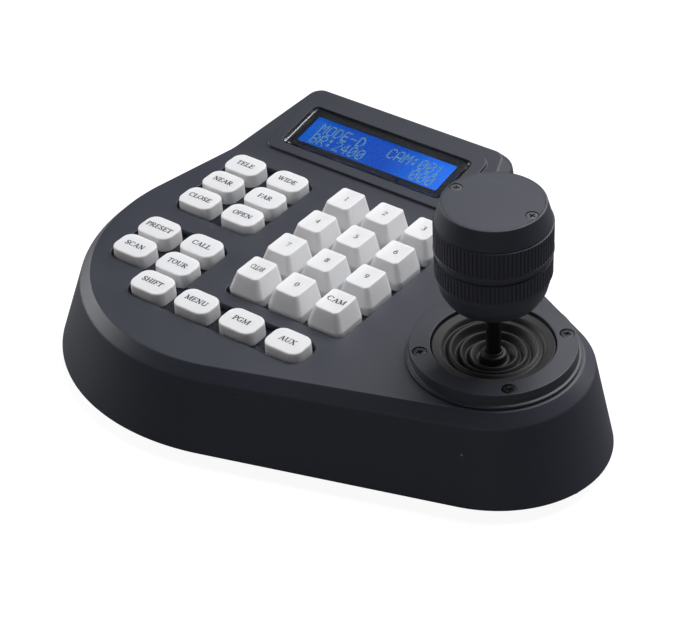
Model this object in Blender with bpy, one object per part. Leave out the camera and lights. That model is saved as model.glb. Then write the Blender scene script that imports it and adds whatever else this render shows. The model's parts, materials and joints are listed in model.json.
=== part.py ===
"""Desk-top camera hand controller: keypad, two-line display and three-axis joystick.

The key panel is a plane tilted towards the user.  Panel coordinates are u (right),
v (back, up the slope) and n (out of the panel, 0 on its surface).  The display
plane continues the panel at a steeper angle behind the bend line.
"""
import math
import bpy
import bmesh
from mathutils import Matrix, Vector

MM = 0.001
GAP = 0.3 * MM

# ---- case ----
PANEL_TILT = math.radians(4.5)
DISPLAY_TILT = math.radians(10.2)
PANEL_HEIGHT = 38.0 * MM
BEND_V = 48.0 * MM
WALL = 2.5 * MM
CHAMFER = 4.0 * MM
FLARE = 8.0 * MM
RIM_Z = 4.8 * MM
LOBE_CENTRE = (-34.0 * MM, 0.5 * MM)
LOBE_RADIUS = 64.5 * MM
REAR_RADIUS = 5.0 * MM
REAR_V = 90.6 * MM
REAR_LEFT_U = -78.0 * MM
REAR_RIGHT_U = 0.8 * MM
WAIST_CENTRE = (52.0 * MM, 82.5 * MM)
WAIST_RADIUS = 42.0 * MM

# ---- joystick ----
STICK_U = 62.0 * MM
STICK_V = -3.0 * MM
RING_RADIUS = 27.9 * MM
RING_BASE = RING_RADIUS + 1.1 * MM
RING_HOLE = 20.8 * MM
RING_HEIGHT = 5.0 * MM
RING_LEDGE = 0.9 * MM
RING_SCREW = 17.4 * MM
PIVOT_N = -14.0 * MM
SHAFT_RADIUS = 2.5 * MM
KNOB_RADIUS = 19.2 * MM
KNOB_TOP_RADIUS = 16.9 * MM
KNOB_BOTTOM = 23.0 * MM
KNOB_SPLIT = 42.8 * MM
KNOB_TOP = 60.8 * MM
KNOB_SCREW = 14.2 * MM
BOOT_THICK = 0.9 * MM

# ---- keys ----
KEY_W = 15.2 * MM
KEY_D = 11.6 * MM
KEY_CORNER = 4.0 * MM
KEY_TOP = 3.1 * MM
KEY_PITCH_U = 19.9 * MM
KEY_PITCH_V = 13.2 * MM
KEY_TRAVEL = 1.8 * MM
KEYS_U = -76.1 * MM
KEYS_V = 37.7 * MM
GROUP_STEP = 3 * KEY_PITCH_V + 9.6 * MM
PAD_BASE_W = 14.6 * MM
PAD_BASE_D = 14.2 * MM
PAD_LEAN = 1.1 * MM
PAD_TOP_W = 9.6 * MM
PAD_TOP_D = 11.8 * MM
PAD_TOP = 7.5 * MM
PAD_PITCH = 17.05 * MM
PAD_TRAVEL = 3.0 * MM
PAD_U = -27.0 * MM
PAD_V = 34.1 * MM
KEY_CLEAR = 1.0 * MM
KEY_SKIRT = -3.0 * MM
STEM_RADIUS = 2.2 * MM
BOARD_TOP = -9.0 * MM
BOARD_THICK = 1.6 * MM
MAT_THICK = 1.5 * MM

# ---- display ----
LCD_U = -39.0 * MM
LCD_S = 22.0 * MM
LCD_W = 65.5 * MM
LCD_D = 16.4 * MM
LENS_W = 72.4 * MM
LENS_D = 21.8 * MM
LENS_THICK = 1.6 * MM
PLATEAU_W = 83.4 * MM
PLATEAU_D = 31.0 * MM
PLATEAU_RISE = 1.0 * MM
MODULE_W = 80.0 * MM
MODULE_D = 36.0 * MM
BEZEL_W = 71.5 * MM
BEZEL_D = 26.0 * MM

# ---- base, feet, sockets, screws ----
FOOT_RADIUS = 6.0 * MM
FOOT_PEG = 4.0 * MM
FOOT_SINK = 1.0 * MM
CASE_SCREWS = [(-92.5 * MM, 1.0 * MM), (29.5 * MM, -38.5 * MM),
               (-85.5 * MM, BEND_V + 1.0 * MM), (8.0 * MM, BEND_V + 1.0 * MM)]
BOSS_RADIUS = 3.8 * MM
JACK_U = -18.0 * MM
SOCKET_U = -60.0 * MM
SOCKET_Z = 17.0 * MM
JACK_W = 9.0 * MM
JACK_H = 11.0 * MM
JACK_BORE = 3.2 * MM
JACK_PIN = 1.0 * MM
SOCKET_W = 16.0 * MM
SOCKET_H = 13.4 * MM
SOCKET_DEPTH = 14.0 * MM

SIN_P, COS_P = math.sin(PANEL_TILT), math.cos(PANEL_TILT)
SIN_D, COS_D = math.sin(DISPLAY_TILT), math.cos(DISPLAY_TILT)


def clear_scene():
    for obj in list(bpy.data.objects):
        bpy.data.objects.remove(obj, do_unlink=True)


# ---------------------------------------------------------------- outline

def case_circles():
    """The circles the panel edge wraps round, anticlockwise; sign -1 bends inwards."""
    return [
        (LOBE_CENTRE[0], LOBE_CENTRE[1], LOBE_RADIUS, 1),
        (STICK_U, STICK_V, RING_BASE + RING_LEDGE, 1),
        (WAIST_CENTRE[0], WAIST_CENTRE[1], WAIST_RADIUS, -1),
        (REAR_RIGHT_U, REAR_V - REAR_RADIUS, REAR_RADIUS, 1),
        (REAR_LEFT_U, REAR_V - REAR_RADIUS, REAR_RADIUS, 1),
    ]


def tangent_angle(first, second):
    """Direction of the outward normal of the line that touches both circles."""
    dx, dy = second[0] - first[0], second[1] - first[1]
    reach = (first[3] * first[2] - second[3] * second[2]) / math.hypot(dx, dy)
    return math.atan2(dy, dx) - math.acos(reach)


def belt_outline(circles, step):
    """Points (u, v) and outward normals along a belt laid round the circles."""
    count = len(circles)
    angles = [tangent_angle(circles[i], circles[(i + 1) % count]) for i in range(count)]
    points = []
    for i, (cu, cv, radius, sign) in enumerate(circles):
        start, end = angles[i - 1], angles[i]
        while sign > 0 and end < start:
            end += 2 * math.pi
        while sign < 0 and end > start:
            end -= 2 * math.pi
        pieces = max(3, math.ceil(abs(end - start) * radius / step))
        for k in range(pieces + 1):
            a = start + (end - start) * k / pieces
            normal = (math.cos(a), math.sin(a))
            points.append((cu + sign * radius * normal[0],
                           cv + sign * radius * normal[1], normal))
    return points


def split_at_bend(points):
    """Add a point wherever the outline crosses the bend line; return their indices."""
    result, marks = [], []
    for i, here in enumerate(points):
        after = points[(i + 1) % len(points)]
        result.append(here)
        if (here[1] - BEND_V) * (after[1] - BEND_V) < 0:
            t = (BEND_V - here[1]) / (after[1] - here[1])
            normal = Vector(here[2]).lerp(Vector(after[2]), t).normalized()
            marks.append(len(result))
            result.append((here[0] + t * (after[0] - here[0]), BEND_V, tuple(normal)))
    return result, marks


# ---------------------------------------------------------------- frames

def outline_shift():
    """Moves the outline so the middle of the rim lies over the origin."""
    grow = CHAMFER + FLARE
    outer = [case_point(u + nu * grow, v + nv * grow, -CHAMFER)
             for u, v, (nu, nv) in belt_outline(case_circles(), 2 * MM)]
    xs, ys = [p.x for p in outer], [p.y for p in outer]
    return Vector((-(min(xs) + max(xs)) / 2, -(min(ys) + max(ys)) / 2, 0))


def case_point(u, v, n):
    return Vector((u, v * COS_P - n * SIN_P, PANEL_HEIGHT + v * SIN_P + n * COS_P))


SHIFT = outline_shift()
PANEL_TURN = Matrix.Rotation(PANEL_TILT, 3, 'X')
DISPLAY_TURN = Matrix.Rotation(PANEL_TILT + DISPLAY_TILT, 3, 'X')


def panel_point(u, v, n):
    """World position of a point given on the key panel."""
    return case_point(u, v, n) + SHIFT


def display_point(u, s, n):
    """World position of a point on the display plane, s measured from the bend."""
    return panel_point(u, BEND_V + s * COS_D - n * SIN_D, s * SIN_D + n * COS_D)


def roof_height(v, depth):
    """n of the top surface (moved in by depth) above the panel coordinate v."""
    slope = (v - BEND_V) * SIN_D / COS_D - depth / COS_D
    return max(-depth, slope)


# ---------------------------------------------------------------- mesh helpers

def finish(name, bm, material, origin=None):
    bmesh.ops.remove_doubles(bm, verts=bm.verts, dist=1e-6)
    bmesh.ops.recalc_face_normals(bm, faces=bm.faces)
    mesh = bpy.data.meshes.new(name)
    bm.to_mesh(mesh)
    bm.free()
    obj = bpy.data.objects.new(name, mesh)
    bpy.context.scene.collection.objects.link(obj)
    mesh.materials.append(material)
    if origin is not None:
        mesh.transform(Matrix.Translation(-origin))
        obj.location = origin
    return obj


def loft_into(bm, rings, close_first=True, close_last=True):
    """Skin a chain of equal-length closed rings; ends closed with flat faces."""
    rows = [[bm.verts.new(p) for p in ring] for ring in rings]
    count = len(rows[0])
    for lower, upper in zip(rows[:-1], rows[1:]):
        for i in range(count):
            j = (i + 1) % count
            bm.faces.new((lower[i], lower[j], upper[j], upper[i]))
    if close_first:
        bm.faces.new(list(reversed(rows[0])))
    if close_last:
        bm.faces.new(rows[-1])
    return rows


def loft(name, rings, material, origin=None):
    bm = bmesh.new()
    loft_into(bm, rings)
    return finish(name, bm, material, origin)


def revolve(name, profile, material, place, turn, segments=32):
    """Turn a profile of (radius, height) about the local Z axis through place."""
    bm = bmesh.new()
    rows = []
    for radius, height in profile:
        if radius < 1e-7:
            rows.append([bm.verts.new((0, 0, height))])
            continue
        rows.append([bm.verts.new((radius * math.cos(2 * math.pi * k / segments),
                                   radius * math.sin(2 * math.pi * k / segments),
                                   height)) for k in range(segments)])
    for lower, upper in zip(rows, rows[1:] + rows[:1]):
        for k in range(segments):
            m = (k + 1) % segments
            if len(lower) == 1 and len(upper) == 1:
                continue
            if len(lower) == 1:
                bm.faces.new((lower[0], upper[m], upper[k]))
            elif len(upper) == 1:
                bm.faces.new((lower[k], lower[m], upper[0]))
            else:
                bm.faces.new((lower[k], lower[m], upper[m], upper[k]))
    obj = finish(name, bm, material)
    obj.data.transform(turn.to_4x4())
    obj.location = place
    for polygon in obj.data.polygons:
        polygon.use_smooth = True
    smooth_by_angle(obj.data)
    return obj


def smooth_by_angle(mesh, limit=math.radians(35)):
    """Keep corners sharper than the limit crisp on a smooth-shaded mesh."""
    bm = bmesh.new()
    bm.from_mesh(mesh)
    for edge in bm.edges:
        edge.smooth = len(edge.link_faces) == 2 and edge.calc_face_angle(0) < limit
    bm.to_mesh(mesh)
    bm.free()


def rounded_rect(width, depth, radius, per_corner=4, mid_edges=False):
    """Anticlockwise points of a rounded rectangle centred on the origin."""
    points = []
    hw, hd = width / 2 - radius, depth / 2 - radius
    corners = [(hw, hd, 0), (-hw, hd, 1), (-hw, -hd, 2), (hw, -hd, 3)]
    middles = [(0, depth / 2), (-width / 2, 0), (0, -depth / 2), (width / 2, 0)]
    for (cx, cy, quarter), middle in zip(corners, middles):
        for k in range(per_corner):
            a = (quarter + k / (per_corner - 1)) * math.pi / 2
            points.append((cx + radius * math.cos(a), cy + radius * math.sin(a)))
        if mid_edges:
            points.append(middle)
    return points


def circle(radius, count, start=0.0):
    return [(radius * math.cos(start + 2 * math.pi * k / count),
             radius * math.sin(start + 2 * math.pi * k / count)) for k in range(count)]


def prism(name, outline, low, high, place, material, centre=(0, 0)):
    """Straight prism; place(u, v, n) gives the world position."""
    rings = [[place(centre[0] + x, centre[1] + y, n) for x, y in outline]
             for n in (low, high)]
    return loft(name, rings, material)


def upright(x, y, z):
    return Vector((x, y, z))


def rear_place(x, z, depth):
    """Outline in the rear wall plane; depth grows towards the user."""
    return Vector((x, REAR_FACE_Y - depth, z))


def combine(target, tool, operation):
    """Apply a Boolean at once and drop the tool object."""
    tool.hide_render = True
    tool.display_type = 'WIRE'
    modifier = target.modifiers.new(operation.title(), 'BOOLEAN')
    modifier.operation = operation
    modifier.solver = 'EXACT'
    modifier.object = tool
    evaluated = target.evaluated_get(bpy.context.evaluated_depsgraph_get())
    mesh = bpy.data.meshes.new_from_object(evaluated)
    target.modifiers.clear()
    old = target.data
    target.data = mesh
    mesh.name = target.name
    bpy.data.meshes.remove(old)
    bpy.data.objects.remove(tool, do_unlink=True)


def cut(target, tools):
    for tool in tools:
        combine(target, tool, 'DIFFERENCE')


def join(target, tools):
    for tool in tools:
        combine(target, tool, 'UNION')


def tidy(obj, dist=0.00002):
    bm = bmesh.new()
    bm.from_mesh(obj.data)
    bmesh.ops.remove_doubles(bm, verts=bm.verts, dist=dist)
    bmesh.ops.dissolve_degenerate(bm, edges=bm.edges, dist=dist / 2)
    bmesh.ops.triangulate(bm, faces=bm.faces)
    bm.to_mesh(obj.data)
    bm.free()


# ---------------------------------------------------------------- materials

def make_material(name, color, roughness, metallic=0.0):
    material = bpy.data.materials.new(name)
    material.use_nodes = True
    shader = material.node_tree.nodes["Principled BSDF"]
    shader.inputs["Base Color"].default_value = (*color, 1.0)
    shader.inputs["Roughness"].default_value = roughness
    shader.inputs["Metallic"].default_value = metallic
    return material


COLORS = {
    "case": ((0.055, 0.056, 0.068), 0.55, 0.0),
    "base": ((0.03, 0.03, 0.034), 0.6, 0.0),
    "rubber": ((0.012, 0.012, 0.013), 0.75, 0.0),
    "ring": ((0.045, 0.046, 0.055), 0.5, 0.0),
    "knob": ((0.03, 0.03, 0.034), 0.5, 0.0),
    "key": ((0.85, 0.85, 0.83), 0.4, 0.0),
    "mat": ((0.5, 0.5, 0.5), 0.7, 0.0),
    "board": ((0.02, 0.16, 0.06), 0.45, 0.0),
    "steel": ((0.45, 0.45, 0.46), 0.35, 1.0),
    "screw": ((0.06, 0.06, 0.065), 0.4, 1.0),
    "gimbal": ((0.1, 0.1, 0.11), 0.5, 0.0),
    "lens": ((0.7, 0.75, 0.8), 0.06, 0.0),
    "lcd": ((0.0, 0.08, 0.6), 0.2, 0.0),
    "socket": ((0.02, 0.02, 0.02), 0.5, 0.0),
}


def own_material(name, kind):
    color, roughness, metallic = COLORS[kind]
    return make_material("mat_" + name, color, roughness, metallic)


# ---------------------------------------------------------------- case

def case_outline():
    return split_at_bend(belt_outline(case_circles(), 4.5 * MM))


def shell_rings(outline, marks, depth):
    """Rim, chamfer foot and panel edge rings, moved inwards by the wall depth."""
    bend = BEND_V + (depth * (1 / COS_D - 1) * COS_D / SIN_D if depth else 0)
    rim, foot, edge = [], [], []
    for i, (u, v, (nu, nv)) in enumerate(outline):
        inset = 0.414 * depth
        eu, ev = u - nu * inset, v - nv * inset
        if i in marks:
            ev = bend
        edge.append(panel_point(eu, ev, roof_height(ev, depth)))
        out = CHAMFER - 0.896 * depth
        top = roof_height(v, 0) - CHAMFER - 0.518 * depth
        foot.append(panel_point(u + nu * out, v + nv * out, top))
        grow = CHAMFER + FLARE - 1.04 * depth
        low = panel_point(u + nu * grow, v + nv * grow, -CHAMFER)
        rim.append(Vector((low.x, low.y, RIM_Z)))
    return rim, foot, edge


def close_roof(bm, row, marks, flip):
    """Close the top ring with one flat face on each side of the bend line."""
    a, b = marks
    parts = [row[a:b + 1], row[b:] + row[:a + 1]]
    for part in parts:
        bm.faces.new(list(reversed(part)) if flip else part)


def rear_face():
    """World Y where the sloping rear wall passes the tops of the sockets."""
    outline = belt_outline(case_circles(), 4.5 * MM)
    u, v, normal = max(outline, key=lambda p: p[1])
    foot = panel_point(u, v + CHAMFER, roof_height(v, 0) - CHAMFER)
    rim_y = panel_point(u, v + CHAMFER + FLARE, -CHAMFER).y
    t = (SOCKET_Z + SOCKET_H / 2 - RIM_Z) / (foot.z - RIM_Z)
    return rim_y + t * (foot.y - rim_y)


REAR_FACE_Y = rear_face()


def make_top_cover():
    material = own_material("top_cover", "case")
    outline, marks = case_outline()
    bm = bmesh.new()
    outer = shell_rings(outline, marks, 0.0)
    inner = shell_rings(outline, marks, WALL)
    rows = loft_into(bm, [inner[2], inner[1], inner[0], outer[0], outer[1], outer[2]],
                     close_first=False, close_last=False)
    close_roof(bm, rows[0], marks, True)
    close_roof(bm, rows[-1], marks, False)
    cover = finish("top_cover", bm, material)

    plateau = prism("plateau", rounded_rect(PLATEAU_W, PLATEAU_D, 4 * MM), -1.0 * MM,
                    PLATEAU_RISE, display_point, material, (LCD_U, LCD_S))
    join(cover, [plateau] + make_bosses(material))
    cut(cover, key_openings(material) + display_openings(material)
        + stick_openings(material) + boss_holes(material) + socket_openings(material))
    tidy(cover)
    return cover


def make_bosses(material):
    tools = []
    for u, v in CASE_SCREWS:
        top = panel_point(u, v, roof_height(v, 0) - 1.2 * MM)
        ring = circle(BOSS_RADIUS, 16)
        rings = [[Vector((top.x + x, top.y + y, z)) for x, y in ring]
                 for z in (RIM_Z + WALL + GAP, top.z)]
        tools.append(loft("boss", rings, material))
    for u, v in board_posts():
        tools.append(prism("post", circle(2.6 * MM, 12), BOARD_TOP + GAP, -1.0 * MM,
                           panel_point, material, (u, v)))
    for u, s in module_posts():
        tools.append(prism("post", circle(2.2 * MM, 12), MODULE_TOP + GAP, -1.0 * MM,
                           display_point, material, (u, s)))
    return tools


def board_posts():
    """Posts that carry the main board, clear of every key opening."""
    gap_u = (KEYS_U + KEY_PITCH_U + KEY_W / 2 + PAD_U - PAD_BASE_W / 2) / 2
    gap_v = KEYS_V - (GROUP_STEP + 2 * KEY_PITCH_V) / 2
    right = PAD_U + 2 * PAD_PITCH + PAD_BASE_W / 2 + KEY_CLEAR + 3.2 * MM
    return [(KEYS_U - KEY_W / 2 - KEY_CLEAR - 3.2 * MM, KEYS_V), (gap_u, KEYS_V),
            (KEYS_U + 0.6 * KEY_PITCH_U, gap_v),
            (right, PAD_V - 0.2 * PAD_PITCH), (right, PAD_V - 2.9 * PAD_PITCH)]


def module_posts():
    du, ds = MODULE_W / 2 - 2.4 * MM, MODULE_D / 2 - 2.4 * MM
    return [(LCD_U + a * du, LCD_S + b * ds) for a in (-1, 1) for b in (-1, 1)]


def boss_holes(material):
    tools = []
    for u, v in CASE_SCREWS:
        top = panel_point(u, v, 0)
        rings = [[Vector((top.x + x, top.y + y, z)) for x, y in circle(1.5 * MM + GAP, 12)]
                 for z in (RIM_Z, RIM_Z + 14 * MM)]
        tools.append(loft("hole", rings, material))
    return tools


# ---------------------------------------------------------------- keys layout

def small_keys():
    """Name and panel position of each rounded function key."""
    lower = KEYS_V - GROUP_STEP
    rows = [
        (KEYS_V, 0, ["tele", "wide"]),
        (KEYS_V - KEY_PITCH_V, 0, ["near", "far"]),
        (KEYS_V - 2 * KEY_PITCH_V, 0, ["close", "open"]),
        (lower, 0, ["preset", "call"]),
        (lower - KEY_PITCH_V, 0, ["scan", "tour"]),
        (lower - 2 * KEY_PITCH_V, 1, ["shift", "menu", "pgm", "aux"]),
    ]
    return [("key_" + name, KEYS_U + (first + k) * KEY_PITCH_U, v)
            for v, first, names in rows for k, name in enumerate(names)]


def pad_keys():
    """Name and panel position of each tall keypad key."""
    names = [["1", "2", "3"], ["4", "5", "6"], ["7", "8", "9"], ["clear", "0", "cam"]]
    return [("key_" + name, PAD_U + k * PAD_PITCH, PAD_V - r * PAD_PITCH)
            for r, row in enumerate(names) for k, name in enumerate(row)]


def block_opening(name, first, last, size, corner, material):
    """Opening round a block of keys given by its first and last key centres."""
    width = abs(last[0] - first[0]) + size[0] + 2 * KEY_CLEAR
    depth = abs(last[1] - first[1]) + size[1] + 2 * KEY_CLEAR
    centre = ((first[0] + last[0]) / 2, (first[1] + last[1]) / 2)
    return prism(name, rounded_rect(width, depth, corner), -6 * MM, 6 * MM,
                 panel_point, material, centre)


def key_openings(material):
    places = {name: (u, v) for name, u, v in small_keys() + pad_keys()}
    small = (KEY_W, KEY_D)
    pad = (PAD_BASE_W, PAD_BASE_D)
    corner = KEY_CORNER + KEY_CLEAR
    blocks = [("key_tele", "key_open", small, corner),
              ("key_preset", "key_tour", small, corner),
              ("key_shift", "key_aux", small, corner),
              ("key_1", "key_cam", pad, 2.5 * MM)]
    return [block_opening("opening", places[a], places[b], size, radius, material)
            for a, b, size, radius in blocks]


def display_openings(material):
    window = prism("window", rounded_rect(LCD_W + 2 * MM, LCD_D + 1.6 * MM, 1 * MM),
                   -6 * MM, 6 * MM, display_point, material, (LCD_U, LCD_S))
    recess = prism("recess", rounded_rect(LENS_W + 2 * LENS_GAP, LENS_D + 2 * LENS_GAP,
                                          2 * MM + LENS_GAP),
                   PLATEAU_RISE - LENS_THICK - GAP + 0.2 * MM, 6 * MM, display_point,
                   material, (LCD_U, LCD_S))
    return [recess, window]


def stick_openings(material):
    centre = (STICK_U, STICK_V)
    tools = [prism("bore", circle(RING_HOLE - 2.6 * MM, 40), -6 * MM, 6 * MM,
                   panel_point, material, centre)]
    for u, v in ring_screw_places():
        tools.append(prism("hole", circle(1.4 * MM + GAP, 12), -6 * MM, 6 * MM,
                           panel_point, material, (u, v)))
    return tools


def ring_screw_places():
    return [(STICK_U + a * RING_SCREW, STICK_V + b * RING_SCREW)
            for a, b in ((1, 1), (-1, 1), (-1, -1), (1, -1))]


LENS_GAP = 0.5 * MM
MODULE_TOP = -8.2 * MM


# ---------------------------------------------------------------- sockets

def socket_openings(material):
    tools = []
    for u, width, height in ((JACK_U, JACK_W, JACK_H), (SOCKET_U, SOCKET_W, SOCKET_H)):
        outline = rounded_rect(width + 2 * GAP, height + 2 * GAP, 0.6 * MM, 3)
        rings = [[rear_place(SHIFT.x + u + x, SOCKET_Z + z, depth) for x, z in outline]
                 for depth in (12 * MM, -12 * MM)]
        tools.append(loft("opening", rings, material))
    return tools


def make_jack():
    """Barrel inlet: a block with a round bore and a centre pin, in one body."""
    material = own_material("dc_jack", "socket")
    x = SHIFT.x + JACK_U
    count = 24
    block = [(JACK_W * 0.5 * sx, JACK_H * 0.5 * sz) for sx, sz in square_points(count)]
    bore, pin = circle(JACK_BORE, count), circle(JACK_PIN, count)
    chain = [(block, SOCKET_DEPTH), (block, 0), (bore, 0), (bore, 9 * MM),
             (pin, 9 * MM), (pin, 1.5 * MM)]
    rings = [[rear_place(x + px, SOCKET_Z + pz, d) for px, pz in ring] for ring, d in chain]
    return loft("dc_jack", rings, material)


def square_points(count):
    """Points on a 2 x 2 square met by rays at equal angles."""
    points = []
    for k in range(count):
        a = 2 * math.pi * k / count
        reach = max(abs(math.cos(a)), abs(math.sin(a)))
        points.append((math.cos(a) / reach, math.sin(a) / reach))
    return points


def make_socket():
    """Eight-way data socket with an open rectangular cavity and a latch notch."""
    material = own_material("data_socket", "socket")
    x = SHIFT.x + SOCKET_U
    hw, hh = SOCKET_W / 2, SOCKET_H / 2
    outer = [(-hw, -hh), (-2 * MM, -hh), (2 * MM, -hh), (hw, -hh),
             (hw, hh), (2 * MM, hh), (-2 * MM, hh), (-hw, hh)]
    cw, low, high, notch = 5.9 * MM, -3.2 * MM, 4.6 * MM, -4.9 * MM
    inner = [(-cw, low), (-2 * MM, notch), (2 * MM, notch), (cw, low),
             (cw, high), (2 * MM, high), (-2 * MM, high), (-cw, high)]
    chain = [(outer, SOCKET_DEPTH), (outer, 0), (inner, 0), (inner, 11.5 * MM)]
    rings = [[rear_place(x + px, SOCKET_Z + pz, d) for px, pz in ring] for ring, d in chain]
    return loft("data_socket", rings, material)


# ---------------------------------------------------------------- base and feet

def foot_places():
    """Feet stand near the rim: two at the rear, one under each lobe."""
    return [(-60.0 * MM, 77.0 * MM), (-20.0 * MM, 77.0 * MM),
            (LOBE_CENTRE[0] - 28.0 * MM, LOBE_CENTRE[1] - 44.0 * MM),
            (STICK_U + 32.4 * MM, STICK_V - 3.2 * MM)]


def ground_xy(u, v):
    place = panel_point(u, v, 0)
    return place.x, place.y


def make_bottom_cover():
    material = own_material("bottom_cover", "base")
    outline, marks = case_outline()
    grow = CHAMFER + FLARE - 1.04 * WALL - 1.1 * MM
    ring = []
    for u, v, (nu, nv) in outline:
        low = panel_point(u + nu * grow, v + nv * grow, -CHAMFER)
        ring.append((low.x, low.y))
    rings = [[Vector((x, y, z)) for x, y in ring] for z in (RIM_Z, RIM_Z + WALL)]
    plate = loft("bottom_cover", rings, material)
    tools = []
    for u, v in foot_places():
        x, y = ground_xy(u, v)
        tools.append(prism("recess", circle(FOOT_PEG + GAP, 16), 0, RIM_Z + FOOT_SINK,
                           upright, material, (x, y)))
    for u, v in CASE_SCREWS:
        x, y = ground_xy(u, v)
        tools.append(prism("bore", circle(3.0 * MM + GAP, 16), 0, RIM_Z + 1.4 * MM,
                           upright, material, (x, y)))
        tools.append(prism("hole", circle(1.5 * MM + GAP, 12), 0, 10 * MM,
                           upright, material, (x, y)))
    cut(plate, tools)
    tidy(plate)
    return plate


def make_feet():
    for k, (u, v) in enumerate(foot_places()):
        x, y = ground_xy(u, v)
        top = RIM_Z + FOOT_SINK - GAP
        under = RIM_Z - GAP
        profile = [(0, 0), (FOOT_RADIUS - 0.8 * MM, 0), (FOOT_RADIUS, 0.7 * MM),
                   (FOOT_RADIUS, under), (FOOT_PEG, under), (FOOT_PEG, top), (0, top)]
        revolve(f"foot_{k + 1}", profile, own_material(f"foot_{k + 1}", "rubber"),
                Vector((x, y, 0)), Matrix.Identity(3), 16)


# ---------------------------------------------------------------- keys

def key_chain(sections, ceiling, wall, stem_bottom, mid_edges, dish):
    """Rings of a hollow cap: stem, ceiling, inner wall, rim, outer wall, top."""
    per = 2 if mid_edges else 3
    first = sections[0]
    inner = rounded_rect(first[0] - 2 * wall, first[1] - 2 * wall,
                         max(first[2] - wall, 0.6 * MM), per, mid_edges)
    shrink = sections[-1][0] / first[0]
    upper = [(x * shrink * 1.02, y * shrink * 1.02) for x, y in inner]
    stem = [stem_ring_point(p, STEM_RADIUS) for p in inner]
    chain = [[(x, y, stem_bottom) for x, y in stem],
             [(x, y, ceiling) for x, y in stem],
             [(x, y, ceiling) for x, y in upper],
             [(x, y, KEY_SKIRT) for x, y in inner]]
    for width, depth, radius, height in sections:
        ring = rounded_rect(width, depth, radius, per, mid_edges)
        chain.append([(x, y, height) for x, y in ring])
    if dish:
        half = sections[-1][0] / 2
        chain[-1] = [(x, y + PAD_LEAN, h - dish * (1 - (x / half) ** 2))
                     for x, y, h in chain[-1]]
    return chain


def stem_ring_point(point, radius):
    length = math.hypot(*point)
    return point[0] / length * radius, point[1] / length * radius


def make_key(name, u, v, chain, dish):
    bm = bmesh.new()
    rows = loft_into(bm, chain, True, not dish)
    if dish:
        low = min(vert.co.z for vert in rows[-1])
        middle = bm.verts.new((0, PAD_LEAN, low))
        count = len(rows[-1])
        for i in range(count):
            bm.faces.new((rows[-1][i], rows[-1][(i + 1) % count], middle))
    obj = finish(name, bm, own_material(name, "key"))
    obj.data.transform(PANEL_TURN.to_4x4())
    obj.location = panel_point(u, v, 0)
    for polygon in obj.data.polygons:
        polygon.use_smooth = True
    smooth_by_angle(obj.data, math.radians(30))
    return obj


def make_keys():
    small = [(KEY_W, KEY_D, KEY_CORNER, KEY_SKIRT),
             (KEY_W - 0.3 * MM, KEY_D - 0.3 * MM, KEY_CORNER - 0.1 * MM, KEY_TOP - 0.9 * MM),
             (KEY_W - 0.9 * MM, KEY_D - 0.9 * MM, KEY_CORNER - 0.4 * MM, KEY_TOP - 0.25 * MM),
             (KEY_W - 2.0 * MM, KEY_D - 2.0 * MM, KEY_CORNER - 0.9 * MM, KEY_TOP)]
    chain = key_chain(small, KEY_TOP - 1.8 * MM, 1.4 * MM,
                      BOARD_TOP + GAP + KEY_TRAVEL, False, 0)
    for name, u, v in small_keys():
        make_key(name, u, v, chain, 0)
    dish = 0.7 * MM
    pad = [(PAD_BASE_W, PAD_BASE_D, 2.4 * MM, KEY_SKIRT),
           (PAD_BASE_W, PAD_BASE_D, 2.4 * MM, 0.6 * MM),
           (PAD_TOP_W, PAD_TOP_D, 1.6 * MM, PAD_TOP)]
    chain = key_chain(pad, PAD_TOP - 3.0 * MM, 1.4 * MM,
                      BOARD_TOP + GAP + PAD_TRAVEL, True, dish)
    for name, u, v in pad_keys():
        make_key(name, u, v, chain, dish)


def key_area():
    """Limits of the board under all the keys."""
    us = [u for _, u, _ in small_keys() + pad_keys()]
    vs = [v for _, _, v in small_keys() + pad_keys()]
    side, end = 8.5 * MM, 6.6 * MM
    return min(us) - side, max(us) + side, min(vs) - end, max(vs) + end


def make_key_mat():
    """Silicone sheet with a hole for every key stem and board post."""
    material = own_material("key_mat", "mat")
    u0, u1, v0, v1 = key_area()
    low = BOARD_TOP + GAP
    mat = mat_sheet("key_mat", u0, u1, v0, v1, low, low + MAT_THICK, material)
    places = [(u, v) for _, u, v in small_keys() + pad_keys()]
    holes = [prism("hole", circle(STEM_RADIUS + 0.8 * MM, 8), low - 2 * MM,
                   low + 6 * MM, panel_point, material, p) for p in places]
    posts = [prism("hole", circle(3.3 * MM, 8), low - 2 * MM, low + 6 * MM,
                   panel_point, material, p) for p in board_posts()]
    cut(mat, holes + posts)
    tidy(mat)
    return mat


def board_outline(u0, u1, v0, v1, inset):
    """Rectangle with its front-left corner taken off to follow the round lobe."""
    nose = v0 + 26 * MM
    return [(u0 + inset, nose), (u0 + 24 * MM, v0 + inset), (u1 - inset, v0 + inset),
            (u1 - inset, v1 - inset), (u0 + inset, v1 - inset)]


def mat_sheet(name, u0, u1, v0, v1, low, high, material):
    return prism(name, board_outline(u0, u1, v0, v1, 0), low, high, panel_point, material)


def make_main_board():
    material = own_material("main_board", "board")
    u0, u1, v0, v1 = key_area()
    return prism("main_board", board_outline(u0 - 3.2 * MM, u1 + 6.5 * MM, v0, v1, 0),
                 BOARD_TOP - BOARD_THICK, BOARD_TOP, panel_point, material)


# ---------------------------------------------------------------- display

def frame_prism(name, outer, inner, low, high, material, centre):
    """Rectangular frame with a through opening."""
    rings = []
    for outline, n in ((inner, low), (outer, low), (outer, high), (inner, high)):
        rings.append([display_point(centre[0] + x, centre[1] + y, n) for x, y in outline])
    bm = bmesh.new()
    loft_into(bm, rings + rings[:1], False, False)
    return finish(name, bm, material)


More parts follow.
